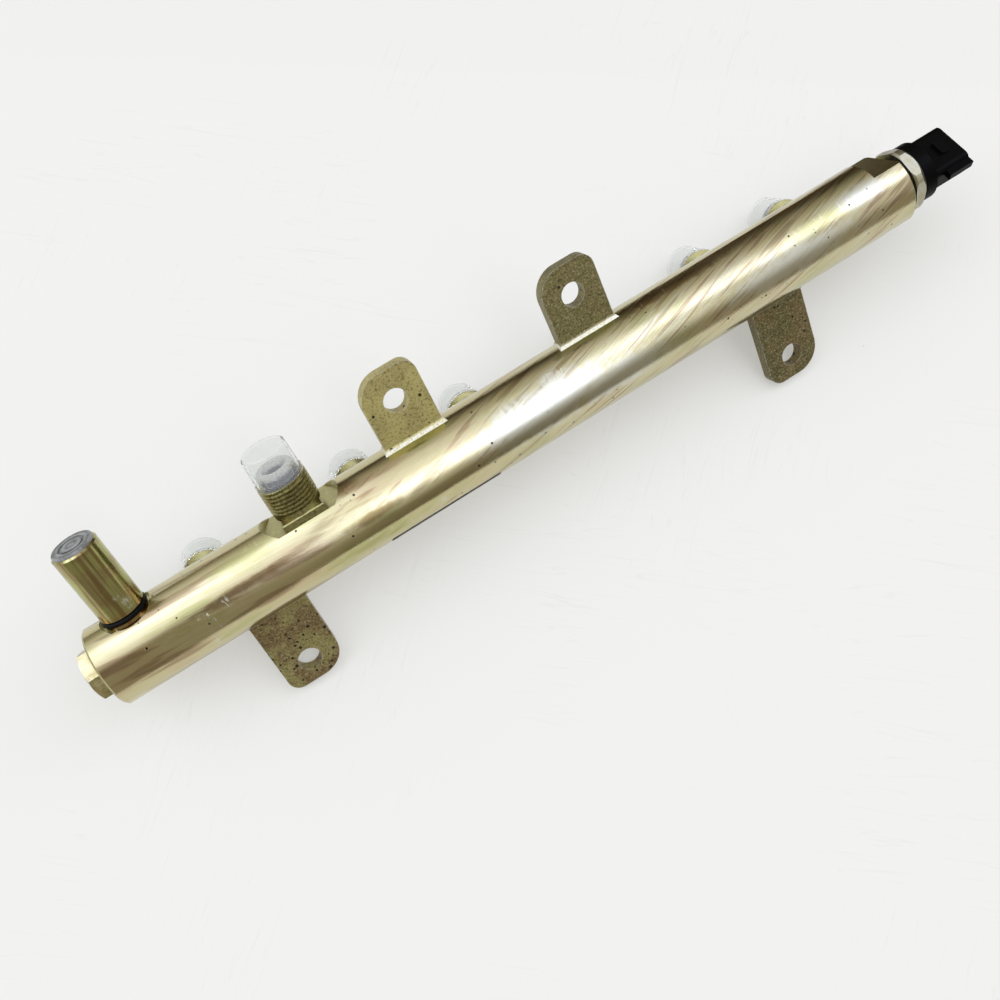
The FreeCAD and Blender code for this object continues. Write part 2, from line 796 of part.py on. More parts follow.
def all_pieces():
    """Every piece by name, where it sits on the rail."""
    pieces = {
        "rail_tube": rail_tube(),
        "end_plug": end_plug(),
        "end_plug_seal": end_plug_seal(),
        "inlet_fitting": screwed_fitting(inlet_position, INLET_SIDE, inlet_thread_length),
        "inlet_cap": shipping_cap(inlet_position, INLET_SIDE, inlet_thread_length),
        "relief_valve_body": relief_valve_body(),
        "relief_valve_o_ring": relief_valve_o_ring(),
        "relief_valve_seat": relief_valve_seat(),
        "relief_valve_plunger": relief_valve_plunger(),
        "relief_valve_spring": relief_valve_spring(),
        "relief_valve_spring_stop": relief_valve_spring_stop(),
        "relief_valve_dust_plug": relief_valve_dust_plug(),
        "sensor_body": sensor_body(),
        "sensor_washer": sensor_washer(),
        "sensor_cell": sensor_cell(),
        "sensor_circuit_board": sensor_circuit_board(),
        "sensor_gasket": sensor_gasket(),
        "sensor_connector": sensor_connector(),
        "sensor_pins": sensor_pins(),
    }
    for number, position in enumerate(outlet_positions, start=1):
        fitting = screwed_fitting(position, OUTLET_SIDE, outlet_thread_length)
        cap = shipping_cap(position, OUTLET_SIDE, outlet_thread_length)
        pieces["outlet_fitting_" + str(number)] = fitting
        pieces["outlet_cap_" + str(number)] = cap
    for number, position in enumerate(short_plate_positions, start=1):
        plate = mounting_plate(position, short_plate_hole_reach, short_plate_tip_margin, 0)
        pieces["short_bracket_" + str(number)] = plate
    for number, position in enumerate(long_plate_positions, start=1):
        plate = mounting_plate(position, long_plate_hole_reach, long_plate_tip_margin, 180)
        pieces["long_bracket_" + str(number)] = plate
    return pieces


def resting_angle():
    """Turn about the tube that brings the cap ends and the long plates' tips level."""
    cap_reach = thread_end(outlet_thread_length) + cap_height
    cap_half_width = cap_end_diameter / 2 - cap_end_bevel
    plate_reach = long_plate_hole_reach + long_plate_tip_margin
    span = plate_reach - cap_half_width
    drop = cap_reach - plate_thickness / 2
    return math.degrees(math.atan2(drop, span))


def laid_down(pieces):
    """All pieces turned to the resting angle, with the origin under the middle of the rail."""
    angle = resting_angle()
    placed = {name: turned_about_tube(shape, angle) for name, shape in pieces.items()}
    box = Part.makeCompound(list(placed.values())).optimalBoundingBox(False)
    middle = FreeCAD.Vector((box.XMin + box.XMax) / 2, (box.YMin + box.YMax) / 2, box.ZMin)
    for shape in placed.values():
        shape.translate(middle * -1)
    return placed


def main():
    os.makedirs("parts", exist_ok=True)
    for name, shape in laid_down(all_pieces()).items():
        shape.exportStep("parts/" + name + ".step")


main()
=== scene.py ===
import math

import bmesh
import bpy
from bpy.props import FloatProperty, FloatVectorProperty, IntProperty, PointerProperty
from mathutils import Matrix, Vector


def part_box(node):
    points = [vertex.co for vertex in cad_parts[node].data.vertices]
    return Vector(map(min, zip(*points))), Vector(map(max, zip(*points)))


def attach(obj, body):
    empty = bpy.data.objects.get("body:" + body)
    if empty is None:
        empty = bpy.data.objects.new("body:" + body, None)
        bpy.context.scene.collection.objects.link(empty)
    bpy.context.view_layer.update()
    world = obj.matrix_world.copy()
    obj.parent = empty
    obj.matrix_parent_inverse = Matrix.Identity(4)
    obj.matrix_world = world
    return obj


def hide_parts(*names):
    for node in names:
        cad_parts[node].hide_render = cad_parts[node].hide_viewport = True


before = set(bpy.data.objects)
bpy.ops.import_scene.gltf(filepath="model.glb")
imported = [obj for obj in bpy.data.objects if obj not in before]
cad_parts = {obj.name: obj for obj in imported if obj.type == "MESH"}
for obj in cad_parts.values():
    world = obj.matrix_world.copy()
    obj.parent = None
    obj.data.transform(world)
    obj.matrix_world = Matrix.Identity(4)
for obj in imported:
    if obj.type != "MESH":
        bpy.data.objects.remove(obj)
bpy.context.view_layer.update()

bl_info = {
    "name": "Fuel rail looks",
    "version": (1, 0, 0),
    "blender": (4, 5, 0),
    "location": "View3D > Sidebar > Fuel rail",
    "description": "Finishes, threads, film and studio for a common-rail fuel rail",
    "category": "Object",
}

# Lengths are in metres in the row frame, where the rail lies along X on the floor at Z 0.
# Directions round the tube are angles from straight up towards +Y.

MM = 0.001
TUBE_LOW, TUBE_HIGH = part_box("rail_tube")
TUBE_RADIUS = (TUBE_HIGH.z - TUBE_LOW.z) / 2
AXIS_Y = (TUBE_LOW.y + TUBE_HIGH.y) / 2
AXIS_Z = (TUBE_LOW.z + TUBE_HIGH.z) / 2
PLUG_END = TUBE_LOW.x
OUTLET_COUNT = 6


def middle_x(node):
    """Middle of a CAD node along the tube."""
    low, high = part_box(node)
    return (low.x + high.x) / 2


# Sizes and colours that a user may change

class RailSizes(bpy.types.PropertyGroup):
    rest_turn: FloatProperty(
        name="Resting turn",
        description="How far the rail has rolled from its outlets pointing straight down",
        default=math.radians(37.894095), subtype="ANGLE",
    )
    thread_pitch: FloatProperty(
        name="Thread pitch", description="Pitch of the pipe threads",
        default=1.5 * MM, unit="LENGTH", precision=5,
    )
    thread_depth: FloatProperty(
        name="Thread depth", description="Depth of the pipe threads below their crest",
        default=0.92 * MM, unit="LENGTH", precision=5,
    )
    thread_segments: IntProperty(
        name="Thread segments", description="Faces round one turn of a thread", default=96, min=24,
    )
    film_length: FloatProperty(
        name="Film length", description="Length of the black film under the tube",
        default=45.0 * MM, unit="LENGTH", precision=4,
    )
    film_start: FloatProperty(
        name="Film start", description="Place of the film's left end along the rail",
        default=-77.0 * MM, unit="LENGTH", precision=4,
    )
    film_thickness: FloatProperty(
        name="Film thickness", description="How far the film stands off the tube",
        default=0.12 * MM, unit="LENGTH", precision=5,
    )


def colour(name, description, value):
    """A colour setting with its default."""
    return FloatVectorProperty(
        name=name, description=description, default=value, subtype="COLOR", size=3, min=0, max=1,
    )


class RailColours(bpy.types.PropertyGroup):
    straw: colour("Straw", "Main tint of the zinc plating", (0.57, 0.51, 0.29))
    rose: colour("Rose", "Pink tint of the zinc plating", (0.56, 0.43, 0.26))
    olive: colour("Olive", "Green tint of the zinc plating", (0.42, 0.43, 0.175))
    silver: colour("Silver", "Plating rubbed nearly bare", (0.65, 0.65, 0.56))
    stain: colour("Stain", "Brown in corners and scuffs", (0.21, 0.13, 0.05))
    milled: colour("Milled", "Duller plating of milled faces", (0.38, 0.33, 0.155))
    fitting: colour("Fitting", "Dark olive plating of the fittings", (0.32, 0.29, 0.135))
    plate: colour("Plate", "Matte olive plating of the brackets", (0.24, 0.21, 0.075))
    plate_brown: colour("Plate brown", "Browner parts of the brackets", (0.20, 0.14, 0.055))
    speck: colour("Speck", "Pits and dark specks", (0.012, 0.010, 0.006))
    steel: colour("Steel", "Bare steel of the sensor", (0.45, 0.44, 0.36))
    # Painted shade and reflection: the near-black blue-grey that the steel nose shows through the milky
    # cap.
    nose: colour("Nose", "Blue-grey nose of a fitting", (0.008, 0.018, 0.045))
    cap: colour("Cap", "Milky plastic of the caps", (0.96, 0.97, 0.95))
    dust_plug: colour("Dust plug", "Grey plastic of the valve's plug", (0.15, 0.155, 0.13))
    black: colour("Black", "Moulded plastic of the connector", (0.0015, 0.0015, 0.0015))
    floor: colour("Floor", "Pale table", (0.46, 0.45, 0.39))
    floor_glow: colour("Floor glow", "Light from inside the table's milky skin", (0.35, 0.353, 0.35))


class StageSettings(bpy.types.PropertyGroup):
    strip_strength: FloatProperty(
        name="Soft light", description="Strength of the soft light overhead", default=0.8, min=0,
    )
    lens: FloatProperty(
        name="Lens", description="Focal length on a sensor 36 mm wide", default=36.84,
    )


# Nodes

class Wiring:
    """Adds nodes to one node tree and feeds their inputs with values or with other nodes' sockets."""

    def __init__(self, tree):
        self.tree = tree

    def node(self, kind, inputs=None, **settings):
        made = self.tree.nodes.new(kind)
        for name, value in settings.items():
            setattr(made, name, value)
        for key, value in (inputs or {}).items():
            self.feed(made.inputs[key], value)
        return made

    def feed(self, socket, value):
        if isinstance(value, bpy.types.NodeSocket):
            self.tree.links.new(value, socket)
        elif socket.type == "RGBA" and len(value) == 3:
            socket.default_value = (*value, 1)
        else:
            socket.default_value = value

    def maths(self, operation, *values):
        made = self.node("ShaderNodeMath", dict(enumerate(values)), operation=operation)
        return made.outputs[0]

    def times(self, first, second):
        return self.maths("MULTIPLY", first, second)

    def plus(self, first, second):
        return self.maths("ADD", first, second)

    def minus(self, first, second):
        return self.maths("SUBTRACT", first, second)

    def most(self, first, second):
        return self.maths("MAXIMUM", first, second)

    def vector(self, operation, *values):
        made = self.node("ShaderNodeVectorMath", dict(enumerate(values)), operation=operation)
        return made.outputs[0]

    def measure(self, operation, *values):
        made = self.node("ShaderNodeVectorMath", dict(enumerate(values)), operation=operation)
        return made.outputs["Value"]

    def mixed(self, share, first, second, blend="MIX"):
        made = self.node("ShaderNodeMix", data_type="RGBA", blend_type=blend, clamp_factor=True)
        for name, value in (("Factor_Float", share), ("A_Color", first), ("B_Color", second)):
            socket = next(s for s in made.inputs if s.identifier == name)
            self.feed(socket, value)
        return next(s for s in made.outputs if s.identifier == "Result_Color")

    def step(self, value, low, high, to_low=0.0, to_high=1.0):
        """A smooth step of the value between low and high."""
        inputs = dict(enumerate((value, low, high, to_low, to_high)))
        made = self.node("ShaderNodeMapRange", inputs, interpolation_type="SMOOTHSTEP")
        return made.outputs["Result"]

    def noise(self, vector, scale, detail=4.0, roughness=0.55):
        inputs = {"Vector": vector, "Scale": scale, "Detail": detail, "Roughness": roughness}
        return self.node("ShaderNodeTexNoise", inputs).outputs["Fac"]

    def place(self):
        """Place on the object, which is its place in the row frame."""
        return self.node("ShaderNodeTexCoord").outputs["Object"]

    def grain(self, scale, detail=4.0, roughness=0.55):
        """Noise that sits still on the object."""
        return self.noise(self.place(), scale, detail, roughness)

    def reach(self, origin, way):
        """How far the place on the object lies from the origin, measured one way."""
        moved = self.vector("SUBTRACT", self.place(), origin)
        return self.measure("DOT_PRODUCT", moved, way)

    def off_axis(self):
        """Distance from the axis of the tube."""
        moved = self.vector("SUBTRACT", self.place(), (0, AXIS_Y, AXIS_Z))
        flat = self.vector("MULTIPLY", moved, (0, 1, 1))
        return self.measure("LENGTH", flat)

    def unwrapped(self, origin, rotation, twist, around, along):
        """Place on a round piece as a point of a ring pattern without a seam."""
        moved = self.vector("SUBTRACT", self.place(), origin)
        turned = self.node(
            "ShaderNodeVectorRotate", {"Vector": moved, "Rotation": rotation},
            rotation_type="EULER_XYZ", invert=True,
        ).outputs[0]
        parts = self.node("ShaderNodeSeparateXYZ", {0: turned})
        angle = self.maths("ARCTAN2", parts.outputs["Y"], parts.outputs["X"])
        angle = self.plus(angle, self.times(parts.outputs["Z"], twist))
        side = self.times(self.maths("COSINE", angle), around)
        front = self.times(self.maths("SINE", angle), around)
        height = self.times(parts.outputs["Z"], along)
        return self.node("ShaderNodeCombineXYZ", {0: side, 1: front, 2: height}).outputs[0]


def new_group(name, inputs, outputs):
    """An empty shader node group with its named sockets."""
    group = bpy.data.node_groups.new(name, "ShaderNodeTree")
    for label, kind, default in inputs:
        made = group.interface.new_socket(label, in_out="INPUT", socket_type="NodeSocket" + kind)
        made.default_value = default
    for label, kind in outputs:
        group.interface.new_socket(label, in_out="OUTPUT", socket_type="NodeSocket" + kind)
    wiring = Wiring(group)
    return wiring, wiring.node("NodeGroupInput").outputs, wiring.node("NodeGroupOutput").inputs


def streaks_group():
    """Streaks drawn along a round piece, straight or winding round it."""
    wiring, given, out = new_group(
        "Drawn streaks",
        [
            ("Origin", "Vector", (0, 0, 0)),
            ("Rotation", "Vector", (0, 0, 0)),
            ("Twist", "Float", 0.0),
            ("Around", "Float", 8.0),
            ("Along", "Float", 20.0),
            ("Fine", "Float", 60.0),
        ],
        [("Broad", "Float"), ("Lines", "Float")],
    )
    for name, around, detail, roughness, low, high in (
        ("Broad", "Around", 3.0, 0.5, 0.32, 0.68), ("Lines", "Fine", 4.0, 0.7, 0.3, 0.7),
    ):
        spot = wiring.unwrapped(
            given["Origin"], given["Rotation"], given["Twist"], given[around], given["Along"],
        )
        streak = wiring.noise(spot, 1.0, detail, roughness)
        wiring.feed(out[name], wiring.step(streak, low, high))
    return wiring.tree


def blotches_group():
    """Soft clouds of tint, longer in one direction than in the others."""
    wiring, given, out = new_group(
        "Blotches",
        [("Stretch", "Vector", (1, 1, 1)), ("Scale", "Float", 60.0), ("Offset", "Vector", (0, 0, 0))],
        [("Value", "Float")],
    )
    spot = wiring.vector("MULTIPLY", wiring.place(), given["Stretch"])
    spot = wiring.vector("ADD", spot, given["Offset"])
    cloud = wiring.noise(spot, given["Scale"], 3.0, 0.5)
    wiring.feed(out["Value"], wiring.step(cloud, 0.34, 0.66))
    return wiring.tree


def specks_group():
    """Scattered round pits of uneven size."""
    wiring, given, out = new_group(
        "Specks",
        [("Scale", "Float", 900.0), ("Size", "Float", 0.25), ("Share", "Float", 0.3)],
        [("Mask", "Float")],
    )
    cells = wiring.node("ShaderNodeTexVoronoi", {"Vector": wiring.place(), "Scale": given["Scale"]})
    draw = wiring.node("ShaderNodeSeparateColor", {0: cells.outputs["Color"]})
    chosen = wiring.maths("LESS_THAN", draw.outputs[0], given["Share"])
    reach = wiring.times(given["Size"], draw.outputs[1])
    edge = wiring.times(reach, 0.6)
    dot = wiring.step(cells.outputs["Distance"], edge, reach, 1.0, 0.0)
    wiring.feed(out["Mask"], wiring.times(dot, chosen))
    return wiring.tree


def edge_wear_group():
    """Edges of a piece, broken up by a fine noise."""
    wiring, given, out = new_group(
        "Edge wear",
        [("Width", "Float", 0.4 * MM), ("Breaks", "Float", 400.0)],
        [("Mask", "Float")],
    )
    rounded = wiring.node("ShaderNodeBevel", {"Radius": given["Width"]}, samples=6)
    flat = wiring.node("ShaderNodeNewGeometry").outputs["Normal"]
    agree = wiring.measure("DOT_PRODUCT", rounded.outputs[0], flat)
    edge = wiring.step(agree, 0.90, 0.995, 1.0, 0.0)
    broken = wiring.step(wiring.grain(given["Breaks"], 3.0), 0.35, 0.6)
    wiring.feed(out["Mask"], wiring.times(edge, broken))
    return wiring.tree


def scratches_group():
    """Thin scratches in two crossing directions."""
    wiring, given, out = new_group(
        "Scratches",
        [("Scale", "Float", 40.0), ("Turn", "Float", 0.6), ("Share", "Float", 0.5)],
        [("Mask", "Float")],
    )
    masks = []
    for turn_sign, offset in ((1, 3.1), (-1, 7.7)):
        angle = wiring.times(given["Turn"], turn_sign)
        turned = wiring.node(
            "ShaderNodeVectorRotate", {"Vector": wiring.place(), "Angle": angle},
            rotation_type="Z_AXIS",
        ).outputs[0]
        thin = wiring.vector("MULTIPLY", turned, (1.0, 24.0, 24.0))
        thin = wiring.vector("ADD", thin, (offset, offset, offset))
        line = wiring.noise(thin, given["Scale"], 1.0, 0.4)
        peak = wiring.maths("ABSOLUTE", wiring.minus(line, 0.5))
        cloud = wiring.noise(turned, wiring.times(given["Scale"], 0.7), 1.0)
        where = wiring.step(cloud, 0.5, 0.62)
        mask = wiring.step(peak, 0.002, 0.012, 1.0, 0.0)
        masks.append(wiring.times(mask, where))
    both = wiring.most(masks[0], masks[1])
    wiring.feed(out["Mask"], wiring.times(both, given["Share"]))
    return wiring.tree


def rubbed_patch_group():
    """A patch on the tube at a place along and round it, broken up by short hatches."""
    wiring, given, out = new_group(
        "Rubbed patch",
        [
            ("Centre", "Vector", (0, 0, 0)),
            ("Reach", "Vector", (0.01, 0.004, 0.004)),
            ("Hatch", "Float", 500.0),
            ("Cover", "Float", 0.5),
        ],
        [("Mask", "Float")],
    )
    moved = wiring.vector("SUBTRACT", wiring.place(), given["Centre"])
    shrunk = wiring.vector("DIVIDE", moved, given["Reach"])
    distance = wiring.measure("LENGTH", shrunk)
    ragged = wiring.grain(260.0, 3.0)
    distance = wiring.plus(distance, wiring.times(ragged, 0.8))
    inside = wiring.step(distance, 0.7, 1.4, 1.0, 0.0)
    hatch_place = wiring.vector("MULTIPLY", wiring.place(), (1.0, 0.25, 0.25))
    hatch = wiring.noise(hatch_place, given["Hatch"], 3.0, 0.6)
    low = wiring.minus(0.62, wiring.times(given["Cover"], 0.3))
    broken = wiring.step(hatch, low, wiring.plus(low, 0.12))
    wiring.feed(out["Mask"], wiring.times(inside, broken))
    return wiring.tree


GROUP_MAKERS = {
    "Rubbed patch": rubbed_patch_group,
    "Drawn streaks": streaks_group,
    "Blotches": blotches_group,
    "Specks": specks_group,
    "Edge wear": edge_wear_group,
    "Scratches": scratches_group,
}


def effect(wiring, name, **values):
    """Places a shared effect in a material with its own values. Returns its outputs."""
    group = bpy.data.node_groups.get(name) or GROUP_MAKERS[name]()
    made = wiring.node("ShaderNodeGroup", node_tree=group)
    for key, value in values.items():
        wiring.feed(made.inputs[key.replace("_", " ")], value)
    return made.outputs


def clouds(wiring, scale):
    """Soft clouds as long as they are wide."""
    return effect(wiring, "Blotches", Scale=scale)["Value"]


class Finish(Wiring):
    """A material with one Principled BSDF."""

    def __init__(self, name, **values):
        self.material = bpy.data.materials.new(name)
        self.material.use_nodes = True
        super().__init__(self.material.node_tree)
        self.tree.nodes.clear()
        shader = self.node("ShaderNodeBsdfPrincipled")
        self.inputs = shader.inputs
        self.node("ShaderNodeOutputMaterial", {"Surface": shader.outputs[0]})
        self.skin(**values)

    def skin(self, **values):
        """Sets or feeds the shader's inputs by name. Returns the material."""
        for key, value in values.items():
            self.feed(self.inputs[key.replace("_", " ")], value)
        return self.material


def new_finish(name, **values):
    """A new material, and the tints that a user may change."""
    return Finish(name, **values), bpy.context.scene.rail_colours


def bumped(wiring, height, strength, distance, normal=None):
    """Normal from a height in metres times distance."""
    inputs = {"Height": height, "Strength": strength, "Distance": distance}
    if normal is not None:
        inputs["Normal"] = normal
    return wiring.node("ShaderNodeBump", inputs).outputs[0]


# Where the round pieces stand, for the streaks on them

def inlet_turn():
    """Direction of the inlet and the relief valve round the tube."""
    return math.pi / 2 - bpy.context.scene.rail_sizes.rest_turn


def outlet_turn():
    """Direction of the outlets round the tube."""
    return inlet_turn() + math.pi / 2


TUBE_ORIGIN = (0, AXIS_Y, AXIS_Z)
TUBE_ROTATION = (0, math.pi / 2, 0)


def outward(turn):
    """Direction away from the axis of the tube."""
    return (0, math.sin(turn), math.cos(turn))


def standing_frame(x, turn):
    """Frame whose Z leaves the axis of the tube at x, turned round the tube, with X along the tube."""
    return Matrix.Translation((x, AXIS_Y, AXIS_Z)) @ Matrix.Rotation(-turn, 4, "X")


# Finishes

def chromate(wiring, cloud, streak, rub):
    """Straw plating that turns rose or olive with the cloud, and paler along the streaks."""
    tints = bpy.context.scene.rail_colours
    tint = wiring.mixed(wiring.step(cloud, 0.55, 0.95, 0.0, 0.75), tints.straw[:], tints.rose[:])
    tint = wiring.mixed(wiring.step(cloud, 0.05, 0.4, 0.7, 0.0), tint, tints.olive[:])
    paler = wiring.times(wiring.step(streak, 0.5, 1.0), rub)
    return wiring.mixed(paler, tint, tints.silver[:])


def tube_spot(along_mm, turn_degrees):
    """Place on the tube's skin, from its plugged end and from straight up towards the inlet's side."""
    turn = math.radians(turn_degrees)
    x = PLUG_END + along_mm * MM
    return (x, AXIS_Y + TUBE_RADIUS * math.sin(turn), AXIS_Z + TUBE_RADIUS * math.cos(turn))


# Silver patches, part rubbed plating and part painted highlight where the band of light runs white;
# brown and green stains; and pale rubbed patches: place along, place round, half length, half width,
# cover
SILVER_AND_HIGHLIGHT_PATCHES = (
    (176, -24, 40, 11, 2.0),
    (205, -40, 30, 7, 2.0),
    (285, -30, 40, 7, 2.0),
    (320, 4, 16, 6, 2.0),
)
BROWN_PATCHES = (
    (55, -14, 24, 2.2, 1.6),
    (104, -24, 15, 2.6, 1.8),
    (96, 34, 12, 5, 1.2),
    (240, 34, 40, 3, 1.1),
)
GREEN_PATCHES = (
    (134, 36, 16, 4, 1.5),
    (207, 36, 16, 4, 1.5),
    (60, 20, 18, 6, 1.0),
    (300, -2, 20, 5, 0.9),
    (100, -60, 30, 5, 1.1),
)
RUBBED_PATCHES = (
    (43, -24, 13, 4.5, 0.35),
    (39, -46, 4, 3, 0.6),
    (40, -64, 5, 3, 0.5),
    (183, 8, 9, 5, 0.9),
    (163, -2, 8, 5, 0.8),
    (128, -62, 3, 2, 0.7),
    (70, 48, 12, 4, 0.25),
)


def patches_mask(wiring, patches):
    """Where any of the patches lies on the tube."""
    found = 0.0
    for x, turn, half_length, half_width, cover in patches:
        mask = effect(
            wiring, "Rubbed patch", Centre=tube_spot(x, turn), Cover=cover,
            Reach=(half_length * MM, half_width * MM, half_width * MM),
        )["Mask"]
        found = wiring.most(found, mask)
    return found


def tube_finish():
    """Polished yellow zinc: straight streaks at the plugged end, winding ones at the sensor's end."""
    wiring, tints = new_finish("Tube zinc", Metallic=1.0)
    along = wiring.reach((PLUG_END, 0, 0), (1, 0, 0))
    winding = wiring.step(along, 60 * MM, 190 * MM)
    straight = effect(
        wiring, "Drawn streaks", Origin=TUBE_ORIGIN, Rotation=TUBE_ROTATION,
        Twist=-4.0, Around=3.0, Along=22.0, Fine=42.0,
    )
    wound = effect(
        wiring, "Drawn streaks", Origin=TUBE_ORIGIN, Rotation=TUBE_ROTATION,
        Twist=22.0, Around=7.0, Along=34.0, Fine=95.0,
    )
    broad = wiring.mixed(winding, straight["Broad"], wound["Broad"])
    lines = wiring.mixed(winding, straight["Lines"], wound["Lines"])
    cloud = effect(wiring, "Blotches", Stretch=(0.5, 1.0, 1.0), Scale=80.0)["Value"]
    tone = wiring.mixed(0.5, cloud, broad)
    rub = wiring.step(along, 110 * MM, 220 * MM, 0.3, 1.0)
    tint = chromate(wiring, tone, lines, rub)
    dark_streak = wiring.step(broad, 0.62, 0.95, 0.0, 0.4)
    tint = wiring.mixed(dark_streak, tint, tints.stain[:], blend="MULTIPLY")
    hair = wiring.step(lines, 0.02, 0.2, 0.55, 0.0)
    tint = wiring.mixed(wiring.times(hair, winding), tint, tints.stain[:])
    # The silver patches are partly painted highlight: they whiten the tube where the band of light falls.
    for patches, patch_tint, share in (
        (SILVER_AND_HIGHLIGHT_PATCHES, tints.silver, 0.85),
        (BROWN_PATCHES, tints.stain, 0.75),
        (GREEN_PATCHES, tints.olive, 0.6),
    ):
        mask = wiring.times(patches_mask(wiring, patches), share)
        tint = wiring.mixed(mask, tint, patch_tint[:])
    rubbed = patches_mask(wiring, RUBBED_PATCHES)
    tint = wiring.mixed(wiring.times(rubbed, 0.55), tint, tints.silver[:])
    pits = effect(wiring, "Specks", Scale=520.0, Size=0.3, Share=0.10)["Mask"]
    tint = wiring.mixed(pits, tint, tints.speck[:])
    milled = wiring.step(
        wiring.off_axis(), TUBE_RADIUS - 0.2 * MM, TUBE_RADIUS - 0.1 * MM, 1.0, 0.0,
    )
    grain = wiring.grain(700.0, 4.0, 0.6)
    milled_tint = wiring.mixed(wiring.step(grain, 0.4, 0.7), tints.milled[:], tints.olive[:])
    wiring.skin(Base_Color=wiring.mixed(milled, tint, milled_tint))
    haze = effect(
        wiring, "Blotches", Stretch=(1.0, 2.0, 2.0), Scale=110.0, Offset=(3.0, 1.0, 2.0),
    )["Value"]
    polish = wiring.step(lines, 0.0, 1.0, 0.06, 0.12)
    polish = wiring.plus(polish, wiring.times(haze, 0.06))
    polish = wiring.most(polish, wiring.times(rubbed, 0.34))
    polish = wiring.most(polish, wiring.times(milled, 0.3))
    wiring.skin(Roughness=polish)
    relief = wiring.minus(lines, wiring.times(pits, 3.0))
    fine = bumped(wiring, relief, 0.5, 0.012 * MM)
    wave_place = wiring.vector("MULTIPLY", wiring.place(), (0.3, 1.0, 1.0))
    wave = wiring.noise(wave_place, 90.0, 2.0)
    return wiring.skin(Normal=bumped(wiring, wave, 0.5, 0.25 * MM, fine))


# Painted light: a pale band with a ragged edge at each nose's tip, standing for the milky haze of the cap
# over it.
HAZE_SPIKES = 3.0 * MM
PAINTED_HAZE = (0.55, 0.56, 0.55)


def fitting_finish():
    """Dark olive zinc, duller than the tube, with a nose in painted blue-grey shade and a painted pale
    haze at its tip.
    """
    wiring, tints = new_finish("Fitting zinc", Metallic=1.0)
    cloud = clouds(wiring, 220.0)
    tint = wiring.mixed(wiring.times(cloud, 0.5), tints.fitting[:], tints.olive[:])
    grain = wiring.grain(900.0, 3.0)
    tint = wiring.mixed(wiring.step(grain, 0.35, 0.55, 0.45, 0.0), tint, tints.stain[:])
    bare = haze_mask = 0.0
    spikes = wiring.times(wiring.grain(1100.0, 2.0), HAZE_SPIKES)
    for turn, length in ((inlet_turn(), INLET_THREAD_LENGTH), (outlet_turn(), OUTLET_THREAD_LENGTH)):
        height = wiring.reach(TUBE_ORIGIN, outward(turn))
        end = THREAD_START + length
        bare = wiring.most(bare, wiring.step(height, end, end + 0.1 * MM))
        haze_band = wiring.step(wiring.plus(height, spikes), end + 3.6 * MM, end + 5.2 * MM)
        haze_mask = wiring.most(haze_mask, haze_band)
    # Painted shade: above the thread, the nose takes the near-black blue-grey that it shows through the
    # cap.
    tint = wiring.mixed(bare, tint, tints.nose[:])
    # Painted haze: the tip of the nose is paled as it looks through the cap.
    wiring.skin(Base_Color=wiring.mixed(haze_mask, tint, PAINTED_HAZE))
    wiring.skin(Roughness=wiring.step(grain, 0.3, 0.7, 0.22, 0.4))
    return wiring.skin(Normal=bumped(wiring, grain, 0.25, 0.03 * MM))


FOOT_BROWN = (0.36, 0.19, 0.06)
# Pale scuffs on the valve: height above the tube's axis, place across and along it, and size
VALVE_SCUFFS = ((21, 6.5, 3.5, 2.4), (24, 7.0, 2.0, 1.6), (18.5, 6.6, 3.6, 1.4))


def valve_finish():
    """Zinc with fine lengthwise lines, darker and browner towards its foot, and pale scuffs."""
    wiring, tints = new_finish("Valve zinc", Metallic=1.0)
    middle = middle_x("relief_valve_body")
    turn = inlet_turn()
    streak = effect(
        wiring, "Drawn streaks", Origin=(middle, AXIS_Y, AXIS_Z), Rotation=(-turn, 0, 0),
        Twist=0.0, Around=4.0, Along=16.0, Fine=30.0,
    )
    cloud = clouds(wiring, 120.0)
    tint = wiring.mixed(wiring.step(cloud, 0.2, 0.8), tints.olive[:], tints.milled[:])
    tint = wiring.mixed(wiring.step(streak["Lines"], 0.5, 1.0, 0.0, 0.5), tint, tints.straw[:])
    tint = wiring.mixed(wiring.step(streak["Broad"], 0.45, 0.9, 0.0, 0.7), tint, tints.stain[:])
    height = wiring.reach(TUBE_ORIGIN, outward(turn))
    # Darker and browner towards the foot, broken into clouds.
    low_brown = wiring.times(wiring.step(height, 18 * MM, 27 * MM, 1.0, 0.0), cloud)
    tint = wiring.mixed(wiring.times(low_brown, 0.6), tint, FOOT_BROWN)
    way = Vector(outward(turn))
    across = Vector((0, -math.cos(turn), math.sin(turn)))
    scuffed = 0.0
    for level, sideways, along, size in VALVE_SCUFFS:
        spot = Vector((middle, AXIS_Y, AXIS_Z)) + way * level * MM + across * sideways * MM
        spot = spot + Vector((along * MM, 0, 0))
        reach = (size * MM,) * 3
        mask = effect(wiring, "Rubbed patch", Centre=spot[:], Reach=reach, Cover=0.45)["Mask"]
        scuffed = wiring.most(scuffed, mask)
    tint = wiring.mixed(wiring.times(scuffed, 0.8), tint, tints.silver[:])
    wiring.skin(Base_Color=tint)
    polish = wiring.step(streak["Lines"], 0.0, 1.0, 0.1, 0.2)
    polish = wiring.most(polish, wiring.times(scuffed, 0.5))
    wiring.skin(Roughness=polish)
    return wiring.skin(Normal=bumped(wiring, streak["Lines"], 0.5, 0.012 * MM))


def end_plug_finish():
    """Pale zinc with a rubbed edge."""
    wiring, tints = new_finish("Plug zinc", Metallic=1.0)
    cloud = clouds(wiring, 200.0)
    worn = effect(wiring, "Edge wear", Width=0.5 * MM, Breaks=500.0)["Mask"]
    tint = wiring.mixed(cloud, tints.milled[:], tints.straw[:])
    wiring.skin(Base_Color=wiring.mixed(worn, tint, tints.silver[:]))
    grain = wiring.grain(700.0, 3.0)
    wiring.skin(Roughness=wiring.step(grain, 0.3, 0.7, 0.2, 0.34))
    return wiring.skin(Normal=bumped(wiring, grain, 0.15, 0.02 * MM))


